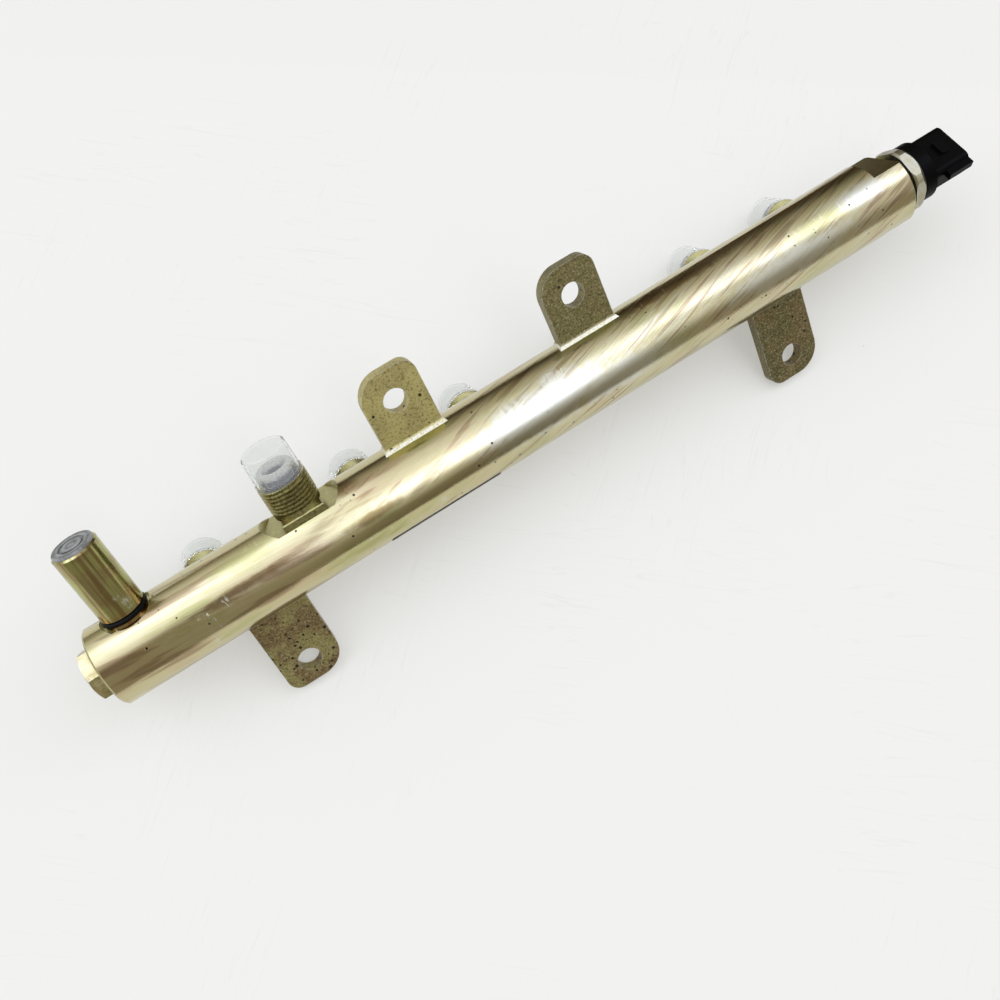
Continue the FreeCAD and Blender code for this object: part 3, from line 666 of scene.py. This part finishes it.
def plate_finish(name, lightness, brownness, pitted):
    """Matte olive plate, grainy, with dark pits, and a pale bead of weld at its root that is partly
    painted highlight.
    """
    wiring, tints = new_finish(name, Metallic=0.6)
    cloud = clouds(wiring, 110.0)
    brown = wiring.times(wiring.step(cloud, 0.1, 0.9), brownness)
    light = Vector(tints.plate) * lightness
    tint = wiring.mixed(brown, light[:], tints.plate_brown[:])
    grain = wiring.grain(1300.0, 4.0, 0.75)
    tint = wiring.mixed(wiring.step(grain, 0.5, 0.66, 0.0, 0.5), tint, tints.straw[:])
    tint = wiring.mixed(wiring.step(grain, 0.34, 0.48, 0.7, 0.0), tint, tints.speck[:])
    pits = effect(wiring, "Specks", Scale=620.0, Size=0.55, Share=pitted)["Mask"]
    tint = wiring.mixed(wiring.times(pits, 0.95), tint, tints.speck[:])
    worn = effect(wiring, "Edge wear", Width=0.5 * MM, Breaks=500.0)["Mask"]
    tint = wiring.mixed(wiring.times(worn, 0.6), tint, tints.silver[:])
    # Weld bead at the root: its own paler metal, together with painted highlight for the light that the
    # unmodelled fillet catches.
    root = wiring.step(
        wiring.off_axis(), TUBE_RADIUS + 0.7 * MM, TUBE_RADIUS + 1.2 * MM, 1.0, 0.0,
    )
    bead_and_highlight = wiring.mixed(wiring.step(grain, 0.4, 0.6), tints.straw[:], tints.silver[:])
    wiring.skin(Base_Color=wiring.mixed(root, tint, bead_and_highlight))
    rough = wiring.step(grain, 0.3, 0.7, 0.36, 0.52)
    rough = wiring.minus(rough, wiring.times(root, 0.12))
    wiring.skin(Roughness=rough)
    relief = wiring.minus(grain, wiring.times(pits, 1.5))
    return wiring.skin(Normal=bumped(wiring, relief, 0.6, 0.08 * MM))


def sensor_finish():
    """Satin bare steel."""
    wiring, tints = new_finish("Sensor steel", Metallic=1.0)
    streak = effect(
        wiring, "Drawn streaks", Origin=TUBE_ORIGIN, Rotation=TUBE_ROTATION,
        Twist=0.0, Around=2.0, Along=900.0, Fine=3.0,
    )
    cloud = clouds(wiring, 250.0)
    warm = wiring.mixed(wiring.times(cloud, 0.5), tints.steel[:], tints.milled[:])
    worn = effect(wiring, "Edge wear", Width=0.4 * MM, Breaks=500.0)["Mask"]
    wiring.skin(Base_Color=wiring.mixed(worn, warm, tints.silver[:]))
    wiring.skin(Roughness=wiring.step(streak["Lines"], 0.0, 1.0, 0.24, 0.36))
    return wiring.skin(Normal=bumped(wiring, streak["Lines"], 0.2, 0.01 * MM))


def cap_finish():
    """Milky see-through plastic with a soft skin."""
    wiring, tints = new_finish(
        "Cap plastic", IOR=1.07, Transmission_Weight=0.86, Metallic=0.0, Specular_IOR_Level=0.5,
    )
    wiring.skin(Base_Color=tints.cap[:])
    cloud = clouds(wiring, 160.0)
    wiring.skin(Roughness=wiring.step(cloud, 0.0, 1.0, 0.1, 0.25))
    ripple = wiring.grain(260.0, 2.0)
    return wiring.skin(Normal=bumped(wiring, ripple, 0.25, 0.2 * MM))


PLUG_RING_PITCH = 2.3 * MM


def dust_plug_finish():
    """Grey half see-through plastic with soft rings."""
    wiring, tints = new_finish("Plug plastic", Transmission_Weight=0.3, IOR=1.3)
    turn = inlet_turn()
    way = Vector(outward(turn))
    centre = Vector((middle_x("relief_valve_body"), AXIS_Y, AXIS_Z))
    height = wiring.reach(centre[:], way[:])
    moved = wiring.vector("SUBTRACT", wiring.place(), centre[:])
    lift = wiring.node(
        "ShaderNodeVectorMath", {0: way[:], "Scale": height}, operation="SCALE",
    ).outputs[0]
    flat = wiring.vector("SUBTRACT", moved, lift)
    off = wiring.measure("LENGTH", flat)
    ripple = wiring.maths("SINE", wiring.times(off, 2 * math.pi / PLUG_RING_PITCH))
    cloud = clouds(wiring, 300.0)
    rings = wiring.times(ripple, 0.12)
    pale = wiring.plus(wiring.times(cloud, 0.25), rings)
    wiring.skin(Base_Color=wiring.mixed(pale, tints.dust_plug[:], tints.cap[:]))
    wiring.skin(Roughness=wiring.step(cloud, 0.0, 1.0, 0.25, 0.4))
    return wiring.skin(Normal=bumped(wiring, ripple, 0.3, 0.06 * MM))


def rubber_finish():
    """Black rubber with a faint grain."""
    wiring = Finish("Seal rubber", Specular_IOR_Level=0.1)
    grain = wiring.grain(1500.0, 3.0)
    wiring.skin(Base_Color=wiring.mixed(grain, (0.001, 0.001, 0.001), (0.005, 0.004, 0.003)))
    wiring.skin(Roughness=wiring.step(grain, 0.3, 0.7, 0.4, 0.55))
    return wiring.skin(Normal=bumped(wiring, grain, 0.2, 0.03 * MM))


def black_plastic_finish():
    """Moulded black plastic, half gloss, with its edges painted paler: partly rubbed, partly painted
    glints.
    """
    wiring, tints = new_finish("Black plastic", Specular_IOR_Level=0.04)
    grain = wiring.grain(1300.0, 3.0)
    worn = effect(wiring, "Edge wear", Width=0.3 * MM, Breaks=900.0)["Mask"]
    tint = wiring.mixed(wiring.step(grain, 0.4, 0.9, 0.0, 0.3), tints.black[:], (0.004, 0.004, 0.004))
    # Worn edges and painted glints: a faint pale tint along the edges.
    tint = wiring.mixed(wiring.times(worn, 0.02), tint, (0.4, 0.4, 0.4))
    wiring.skin(Base_Color=tint)
    wiring.skin(Roughness=wiring.step(grain, 0.3, 0.7, 0.3, 0.46))
    return wiring.skin(Normal=bumped(wiring, grain, 0.25, 0.03 * MM))


def inner_steel_finish(name, base, low, high):
    """Ground steel, iron, board or brass of the pieces inside."""
    wiring = Finish(name, Metallic=0.0 if name == "Circuit board" else 1.0)
    grain = wiring.grain(800.0, 3.0)
    darker = tuple(value * 0.75 for value in base)
    wiring.skin(Base_Color=wiring.mixed(wiring.step(grain, 0.3, 0.7), darker, base))
    wiring.skin(Roughness=wiring.step(grain, 0.3, 0.7, low, high))
    return wiring.skin(Normal=bumped(wiring, grain, 0.15, 0.02 * MM))


def film_finish():
    """Thin black film, half gloss."""
    wiring, tints = new_finish("Black film", Specular_IOR_Level=0.15)
    ripple = wiring.grain(350.0, 2.0)
    wiring.skin(Base_Color=wiring.mixed(ripple, tints.black[:], (0.008, 0.008, 0.008)))
    wiring.skin(Roughness=wiring.step(ripple, 0.3, 0.7, 0.3, 0.45))
    return wiring.skin(Normal=bumped(wiring, ripple, 0.2, 0.1 * MM))


def floor_finish():
    """Pale table with faint scratches and specks, lit a little from below to keep its shadows soft."""
    wiring, tints = new_finish(
        "Pale table", Specular_IOR_Level=0.2, Roughness=0.6, Emission_Strength=1.0,
    )
    marks = effect(wiring, "Scratches", Scale=12.0, Turn=0.7, Share=0.10)["Mask"]
    dust = effect(wiring, "Specks", Scale=70.0, Size=0.05, Share=0.06)["Mask"]
    tint = wiring.mixed(marks, tints.floor[:], (0.25, 0.25, 0.22))
    tint = wiring.mixed(wiring.times(dust, 0.4), tint, (0.2, 0.2, 0.2))
    glow = wiring.mixed(marks, tints.floor_glow[:], (0.28, 0.28, 0.28))
    return wiring.skin(Base_Color=tint, Emission_Color=glow)


# Meshes

def dressed(node, material):
    """Gives a CAD node its finish."""
    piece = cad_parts[node]
    piece.data.materials.clear()
    piece.data.materials.append(material)
    return piece


def new_piece(name, mesh, material, sharp_angle=math.radians(32)):
    """A piece of its own, smooth but for its sharp edges, that rides on the rail."""
    mesh.shade_smooth()
    mesh.set_sharp_from_angle(angle=sharp_angle)
    mesh.materials.append(material)
    piece = bpy.data.objects.new(name, mesh)
    bpy.context.scene.collection.objects.link(piece)
    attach(piece, "root")
    return piece


def ring(bm, radius, height, segments):
    """One ring of points round the local Z axis."""
    points = []
    for index in range(segments):
        angle = 2 * math.pi * index / segments
        points.append(bm.verts.new((radius * math.cos(angle), radius * math.sin(angle), height)))
    return points


def band(bm, lower, upper):
    """Faces between two rings with as many points."""
    count = len(lower)
    for index in range(count):
        after = (index + 1) % count
        bm.faces.new((lower[index], lower[after], upper[after], upper[index]))


def lathe(bm, profile, segments):
    """Turned surface through (height, radius) points."""
    rings = [ring(bm, radius, height, segments) for height, radius in profile]
    for lower, upper in zip(rings, rings[1:]):
        band(bm, lower, upper)


def finished_mesh(bm, name, placement):
    """The mesh with its faces turned outwards, moved to its place."""
    bmesh.ops.remove_doubles(bm, verts=bm.verts, dist=1e-7)
    bmesh.ops.dissolve_degenerate(bm, edges=bm.edges, dist=1e-7)
    bmesh.ops.recalc_face_normals(bm, faces=bm.faces)
    mesh = bpy.data.meshes.new(name)
    bm.to_mesh(mesh)
    bm.free()
    mesh.transform(placement)
    return mesh


# Fitting sizes, measured from the axis of the tube, as the CAD has them
SPOT_FACE_LEVEL = 12.0 * MM
BASE_TOP = 15.0 * MM
THREAD_START = 16.8 * MM
INLET_THREAD_LENGTH = 10.5 * MM
OUTLET_THREAD_LENGTH = 5.9 * MM
SHANK_START = 7.5 * MM
SHANK_RADIUS = 6.0 * MM
BASE_HALF_LENGTH = 8.0 * MM
BASE_HALF_WIDTH = 9.0 * MM
BASE_CHAMFER = 0.4 * MM
COLLAR_RADIUS = 8.8 * MM
THREAD_RADIUS = 9.0 * MM
THREAD_CHAMFER = 0.7 * MM
NOSE_RADIUS = 6.9 * MM
NOSE_LENGTH = 4.7 * MM
NOSE_CHAMFER = 0.5 * MM
MOUTH_RADIUS = 4.5 * MM
BORE_RADIUS = 1.5 * MM
MOUTH_DEPTH = (MOUTH_RADIUS - BORE_RADIUS) / math.tan(math.radians(30))


def thread_rows(bm, start, end, sizes):
    """Screw thread between two heights."""
    segments = sizes.thread_segments
    pitch = sizes.thread_pitch
    root = THREAD_RADIUS - sizes.thread_depth
    shape = ((0.0, THREAD_RADIUS), (0.14, THREAD_RADIUS), (0.5, root), (0.64, root))
    turns = math.ceil((end - start) / pitch) + 2

    def point(row, index):
        turn, part = divmod(row, len(shape))
        share, radius = shape[part]
        angle = 2 * math.pi * index / segments
        height = start + pitch * (turn + share + index / segments - 1)
        height = min(max(height, start), end)
        entry = COLLAR_RADIUS + (height - start) * (THREAD_RADIUS - COLLAR_RADIUS) / THREAD_CHAMFER
        leaving = THREAD_RADIUS - THREAD_CHAMFER + (end - height)
        radius = min(radius, entry, leaving)
        return bm.verts.new((radius * math.cos(angle), radius * math.sin(angle), height))

    rows = turns * len(shape)
    grid = [[point(row, index) for index in range(segments + 1)] for row in range(rows)]
    for row in range(rows - 1):
        for index in range(segments):
            corners = (
                grid[row][index], grid[row][index + 1], grid[row + 1][index + 1], grid[row + 1][index],
            )
            bm.faces.new(corners)


def fitting_mesh(name, x, turn, thread_length, sizes):
    """Pipe fitting with its real thread, on an oblong base."""
    bm = bmesh.new()
    segments = sizes.thread_segments
    thread_end = THREAD_START + thread_length
    tip = thread_end + NOSE_LENGTH
    lathe(bm, [
        (SHANK_START, BORE_RADIUS),
        (SHANK_START, SHANK_RADIUS),
        (BASE_TOP, SHANK_RADIUS),
        (BASE_TOP, COLLAR_RADIUS),
        (THREAD_START, COLLAR_RADIUS),
    ], segments)
    thread_rows(bm, THREAD_START, thread_end, sizes)
    lathe(bm, [
        (thread_end, THREAD_RADIUS - THREAD_CHAMFER),
        (thread_end, NOSE_RADIUS),
        (tip - NOSE_CHAMFER, NOSE_RADIUS),
        (tip, NOSE_RADIUS - NOSE_CHAMFER),
        (tip, MOUTH_RADIUS),
        (tip - MOUTH_DEPTH, BORE_RADIUS),
        (SHANK_START, BORE_RADIUS),
    ], segments)
    oblong_base(bm)
    return finished_mesh(bm, name, standing_frame(x, turn))


def oblong_base(bm):
    """Base for a spanner, with a broken edge on top."""
    sections = (
        (SPOT_FACE_LEVEL, BASE_HALF_LENGTH, BASE_HALF_WIDTH),
        (BASE_TOP - BASE_CHAMFER, BASE_HALF_LENGTH, BASE_HALF_WIDTH),
        (BASE_TOP, BASE_HALF_LENGTH - BASE_CHAMFER, BASE_HALF_WIDTH - BASE_CHAMFER),
    )
    rings = []
    for height, along, across in sections:
        corners = ((-along, -across), (along, -across), (along, across), (-along, across))
        rings.append([bm.verts.new((x, y, height)) for x, y in corners])
    for lower, upper in zip(rings, rings[1:]):
        band(bm, lower, upper)
    bm.faces.new(rings[0])
    bm.faces.new(rings[-1])


FILM_TOP_TURN = math.radians(-85)
FILM_LOW_TURN = math.radians(-124)
FILM_ROWS = 40
FILM_COLUMNS = 12
FILM_GLUE = 0.02 * MM
FILM_EDGE_LIFT = 0.25 * MM


def film_place(sizes, along, across, lift):
    """Point of the film: along and across it from 0 to 1, lifted off the tube."""
    ragged = (0.4 * math.sin(9 * across) + 0.3 * math.sin(23 * across)) * MM
    x = sizes.film_start + along * sizes.film_length + ragged * (2 * along - 1)
    low_turn = FILM_LOW_TURN + 0.03 * math.sin(7 * along) + 0.015 * math.sin(31 * along)
    turn = FILM_TOP_TURN + (low_turn - FILM_TOP_TURN) * across
    rise = lift + FILM_EDGE_LIFT * across ** 4 * (1 + 0.5 * math.sin(17 * along))
    radius = TUBE_RADIUS + rise
    return (x, AXIS_Y + radius * math.sin(turn), AXIS_Z + radius * math.cos(turn))


def film_mesh(sizes):
    """Strip of film round the underside of the tube, with uneven ends and a lifted lower edge."""
    bm = bmesh.new()
    skins = []
    for lift in (FILM_GLUE, sizes.film_thickness):
        skins.append([
            [
                bm.verts.new(film_place(sizes, row / FILM_ROWS, column / FILM_COLUMNS, lift))
                for column in range(FILM_COLUMNS + 1)
            ]
            for row in range(FILM_ROWS + 1)
        ])
    inner, outer = skins
    for skin in skins:
        for here, after in zip(skin, skin[1:]):
            for column in range(FILM_COLUMNS):
                bm.faces.new((here[column], here[column + 1], after[column + 1], after[column]))
    for side in (0, FILM_COLUMNS):
        for row in range(FILM_ROWS):
            bm.faces.new((
                inner[row][side], inner[row + 1][side], outer[row + 1][side], outer[row][side],
            ))
    for end in (0, FILM_ROWS):
        for column in range(FILM_COLUMNS):
            bm.faces.new((
                inner[end][column], inner[end][column + 1], outer[end][column + 1], outer[end][column],
            ))
    return finished_mesh(bm, "black_film", Matrix())


# Operators, one for each piece or group of like pieces

class RAIL_OT_tube(bpy.types.Operator):
    """Finishes the tube"""
    bl_idname = "rail.tube"
    bl_label = "Finish the tube"

    def execute(self, context):
        dressed("rail_tube", tube_finish())
        return {"FINISHED"}


class RAIL_OT_end_plug(bpy.types.Operator):
    """Finishes the screw plug in the tube's end"""
    bl_idname = "rail.end_plug"
    bl_label = "Finish the end plug"

    def execute(self, context):
        dressed("end_plug", end_plug_finish())
        return {"FINISHED"}


class RAIL_OT_fittings(bpy.types.Operator):
    """Models the inlet and the outlets with their threads"""
    bl_idname = "rail.fittings"
    bl_label = "Model the fittings"

    def execute(self, context):
        sizes = context.scene.rail_sizes
        finish = fitting_finish()
        plans = [("inlet_fitting", inlet_turn(), INLET_THREAD_LENGTH)]
        for number in range(1, OUTLET_COUNT + 1):
            plans.append((f"outlet_fitting_{number}", outlet_turn(), OUTLET_THREAD_LENGTH))
        for node, turn, thread_length in plans:
            name = "threaded_" + node
            mesh = fitting_mesh(name, middle_x(node), turn, thread_length, sizes)
            piece = new_piece(name, mesh, finish)
            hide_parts(node)
        return {"FINISHED"}


class RAIL_OT_caps(bpy.types.Operator):
    """Finishes the shipping caps"""
    bl_idname = "rail.caps"
    bl_label = "Finish the shipping caps"

    def execute(self, context):
        finish = cap_finish()
        dressed("inlet_cap", finish)
        for number in range(1, OUTLET_COUNT + 1):
            dressed(f"outlet_cap_{number}", finish)
        return {"FINISHED"}


class RAIL_OT_relief_valve(bpy.types.Operator):
    """Finishes the relief valve and what is inside it"""
    bl_idname = "rail.relief_valve"
    bl_label = "Finish the relief valve"

    def execute(self, context):
        dressed("relief_valve_body", valve_finish())
        dressed("relief_valve_o_ring", rubber_finish())
        steel = inner_steel_finish("Inner steel", (0.55, 0.55, 0.55), 0.2, 0.35)
        for part in ("seat", "plunger", "spring", "spring_stop"):
            dressed("relief_valve_" + part, steel)
        dressed("end_plug_seal", inner_steel_finish("Soft iron", (0.4, 0.4, 0.4), 0.3, 0.45))
        return {"FINISHED"}


class RAIL_OT_dust_plug(bpy.types.Operator):
    """Finishes the plastic plug in the relief valve"""
    bl_idname = "rail.dust_plug"
    bl_label = "Finish the dust plug"

    def execute(self, context):
        dressed("relief_valve_dust_plug", dust_plug_finish())
        return {"FINISHED"}


class RAIL_OT_brackets(bpy.types.Operator):
    """Finishes the four welded brackets"""
    bl_idname = "rail.brackets"
    bl_label = "Finish the brackets"

    def execute(self, context):
        dressed("short_bracket_1", plate_finish("Pale plate zinc", 2.1, 0.3, 0.1))
        dressed("short_bracket_2", plate_finish("Olive plate zinc", 0.8, 0.2, 0.06))
        dressed("long_bracket_1", plate_finish("Pitted plate zinc", 1.25, 1.0, 0.36))
        dressed("long_bracket_2", plate_finish("Brown plate zinc", 0.55, 0.6, 0.08))
        return {"FINISHED"}


class RAIL_OT_sensor(bpy.types.Operator):
    """Finishes the pressure sensor's steel and inner pieces"""
    bl_idname = "rail.sensor"
    bl_label = "Finish the sensor"

    def execute(self, context):
        steel = sensor_finish()
        for node in ("sensor_body", "sensor_cell"):
            dressed(node, steel)
        # Painted shade: the washer is made near black for the dark gap between the hex and the tube.
        dressed("sensor_washer", inner_steel_finish("Washer painted shade", (0.05, 0.045, 0.035), 0.4, 0.55))
        board = inner_steel_finish("Circuit board", (0.03, 0.2, 0.09), 0.3, 0.4)
        dressed("sensor_circuit_board", board)
        dressed("sensor_gasket", rubber_finish())
        dressed("sensor_pins", inner_steel_finish("Contact brass", (0.75, 0.58, 0.28), 0.15, 0.25))
        return {"FINISHED"}


class RAIL_OT_film(bpy.types.Operator):
    """Models the black film under the tube"""
    bl_idname = "rail.film"
    bl_label = "Model the film"

    def execute(self, context):
        new_piece("black_film", film_mesh(context.scene.rail_sizes), film_finish())
        return {"FINISHED"}


class RAIL_OT_connector(bpy.types.Operator):
    """Finishes the black connector"""
    bl_idname = "rail.connector"
    bl_label = "Finish the connector"

    def execute(self, context):
        dressed("sensor_connector", black_plastic_finish())
        return {"FINISHED"}


class RAIL_OT_stage(bpy.types.Operator):
    """Sets the table, the soft light and the camera"""
    bl_idname = "rail.stage"
    bl_label = "Set the stage"

    def execute(self, context):
        make_floor()
        make_black_card()
        make_light(context.scene)
        make_camera(context.scene)
        context.scene.view_settings.view_transform = "Standard"
        return {"FINISHED"}


# Stage

TABLE_REACH = 2.5
TABLE_EDGE = 0.200
CAMERA_UP_HEADING = math.radians(32.81)


def stage_sheet(name, near, far, side, height, material):
    """Flat sheet on the stage, square to the way the camera looks."""
    corners = ((-side, near, height), (side, near, height), (side, far, height), (-side, far, height))
    mesh = bpy.data.meshes.new(name)
    mesh.from_pydata(corners, [], [(0, 1, 2, 3)])
    mesh.transform(Matrix.Rotation(-CAMERA_UP_HEADING, 4, "Z"))
    mesh.materials.append(material)
    sheet = bpy.data.objects.new(name, mesh)
    bpy.context.scene.collection.objects.link(sheet)
    return sheet


def make_floor():
    """Flat table under the rail, which ends just above the picture."""
    table = stage_sheet("table", -2 * TABLE_REACH, TABLE_EDGE, 2 * TABLE_REACH, 0, floor_finish())


BLACK_CARD_EDGE = 0.150
BLACK_CARD_HEIGHT = 0.5 * MM


def make_black_card():
    """Dark card at the back of the table, which only the metal sees."""
    wiring = Finish("Black card", Roughness=0.9, Specular_IOR_Level=0.0)
    tint = wiring.mixed(wiring.grain(20.0), (0.06, 0.04, 0.02), (0.08, 0.055, 0.03))
    card = stage_sheet(
        "black_card", BLACK_CARD_EDGE, 2 * TABLE_EDGE, TABLE_REACH, BLACK_CARD_HEIGHT,
        wiring.skin(Base_Color=tint),
    )
    card.visible_camera = False
    card.visible_diffuse = False
    card.visible_transmission = False
    card.visible_shadow = False


# Brightness round the rail, by the angle from straight up towards the inlet's side in degrees:
# one broad soft light overhead that stands a little differently at the plug, the middle and the sensor
ROOM_AT_PLUG = (
    (-90, 0.4), (-35, 0.4), (-15, 0.4), (0, 1.6), (20, 2.5), (35, 3.5), (55, 1.5), (90, 0.4),
)
ROOM_AT_MIDDLE = (
    (-90, 0.2), (-65, 0.3), (-45, 1.0), (-25, 4.0), (-10, 3.5), (5, 2.0), (35, 1.2), (65, 0.6), (90, 0.1),
)
ROOM_AT_SENSOR = (
    (-90, 0.4), (-60, 0.4), (-35, 1.0), (-15, 1.2), (0, 3.5), (15, 2.5), (30, 1.0), (60, 0.5), (90, 0.1),
)
BRIGHTEST = 5.5


def room_ramp(wiring, turn, stops):
    """Light by direction round the rail, warmer where it is darker and cooler where it is bright."""
    share = wiring.maths("DIVIDE", wiring.plus(turn, math.pi), 2 * math.pi)
    made = wiring.node("ShaderNodeValToRGB", {"Fac": share})
    ramp = made.color_ramp
    while len(ramp.elements) < len(stops):
        ramp.elements.new(0.5)
    for element, (angle, brightness) in zip(ramp.elements, stops):
        warm = max(1 - brightness, 0)
        cool = min(max(brightness - 1, 0) / 2, 1)
        tint = (1 + 0.18 * warm - 0.05 * cool, 1.0, 1 - 0.35 * warm + 0.25 * cool)
        element.position = (angle + 180) / 360
        element.color = (*(value * brightness / BRIGHTEST for value in tint), 1)
    return made.outputs["Color"]


def make_light(scene):
    """World with soft lights overhead and a dimmer room beside them."""
    world = bpy.data.worlds.new("Studio")
    world.use_nodes = True
    world.node_tree.nodes.clear()
    wiring = Wiring(world.node_tree)
    way = wiring.node("ShaderNodeTexCoord").outputs["Generated"]
    parts = wiring.node("ShaderNodeSeparateXYZ", {0: way}).outputs
    turn = wiring.maths("ARCTAN2", parts["Y"], parts["Z"])
    plug_side = room_ramp(wiring, turn, ROOM_AT_PLUG)
    middle = room_ramp(wiring, turn, ROOM_AT_MIDDLE)
    sensor_side = room_ramp(wiring, turn, ROOM_AT_SENSOR)
    light = wiring.mixed(wiring.step(parts["X"], -0.11, 0.08), plug_side, middle)
    light = wiring.mixed(wiring.step(parts["X"], 0.18, 0.40), light, sensor_side)
    strength = BRIGHTEST * scene.rail_stage.strip_strength
    lit = wiring.node("ShaderNodeBackground", {"Color": light, "Strength": strength})
    pale = wiring.node("ShaderNodeBackground", {"Color": (0.88, 0.88, 0.87), "Strength": 1.0})
    path = wiring.node("ShaderNodeLightPath").outputs
    seen = wiring.most(path["Is Camera Ray"], path["Is Transmission Ray"])
    chosen = wiring.node("ShaderNodeMixShader", {0: seen, 1: lit.outputs[0], 2: pale.outputs[0]})
    output = wiring.node("ShaderNodeOutputWorld")
    wiring.feed(output.inputs["Surface"], chosen.outputs[0])
    scene.world = world


CAMERA_PLACE = Vector((PLUG_END + 0.093058, AXIS_Y - 0.064693, AXIS_Z + 0.362053))
CAMERA_AIM = Vector((PLUG_END + 0.15019, AXIS_Y - 0.01945, 0.0))


def make_camera(scene):
    """Camera high over the rail, turned so that the rail runs up to the right."""
    data = bpy.data.cameras.new("camera")
    data.sensor_width = 36
    data.lens = scene.rail_stage.lens
    data.clip_start = 0.01
    data.clip_end = 20
    forward = (CAMERA_AIM - CAMERA_PLACE).normalized()
    up_hint = Vector((math.sin(CAMERA_UP_HEADING), math.cos(CAMERA_UP_HEADING), 0))
    right = forward.cross(up_hint).normalized()
    up = right.cross(forward)
    camera = bpy.data.objects.new("camera", data)
    turned = Matrix((right, up, -forward)).transposed().to_4x4()
    camera.matrix_world = Matrix.Translation(CAMERA_PLACE) @ turned
    scene.collection.objects.link(camera)
    scene.camera = camera


class RAIL_PT_panel(bpy.types.Panel):
    """Sizes, colours and steps of the fuel rail"""
    bl_idname = "RAIL_PT_panel"
    bl_label = "Fuel rail"
    bl_space_type = "VIEW_3D"
    bl_region_type = "UI"
    bl_category = "Fuel rail"

    def draw(self, context):
        scene = context.scene
        for settings in (scene.rail_sizes, scene.rail_colours, scene.rail_stage):
            box = self.layout.box()
            for name in settings.bl_rna.properties.keys():
                if name not in ("rna_type", "name"):
                    box.prop(settings, name)
        for operator in OPERATORS:
            self.layout.operator(operator.bl_idname)


OPERATORS = (
    RAIL_OT_tube,
    RAIL_OT_end_plug,
    RAIL_OT_fittings,
    RAIL_OT_caps,
    RAIL_OT_relief_valve,
    RAIL_OT_dust_plug,
    RAIL_OT_brackets,
    RAIL_OT_sensor,
    RAIL_OT_connector,
    RAIL_OT_film,
    RAIL_OT_stage,
)
CLASSES = (RailSizes, RailColours, StageSettings, *OPERATORS, RAIL_PT_panel)


def register():
    for made in CLASSES:
        bpy.utils.register_class(made)
    bpy.types.Scene.rail_sizes = PointerProperty(type=RailSizes)
    bpy.types.Scene.rail_colours = PointerProperty(type=RailColours)
    bpy.types.Scene.rail_stage = PointerProperty(type=StageSettings)


def unregister():
    del bpy.types.Scene.rail_stage
    del bpy.types.Scene.rail_colours
    del bpy.types.Scene.rail_sizes
    for made in reversed(CLASSES):
        bpy.utils.unregister_class(made)


def main():
    register()
    bpy.ops.rail.tube()
    bpy.ops.rail.end_plug()
    bpy.ops.rail.fittings()
    bpy.ops.rail.caps()
    bpy.ops.rail.relief_valve()
    bpy.ops.rail.dust_plug()
    bpy.ops.rail.brackets()
    bpy.ops.rail.sensor()
    bpy.ops.rail.connector()
    bpy.ops.rail.film()
    bpy.ops.rail.stage()


if __name__ == "__main__":
    main()
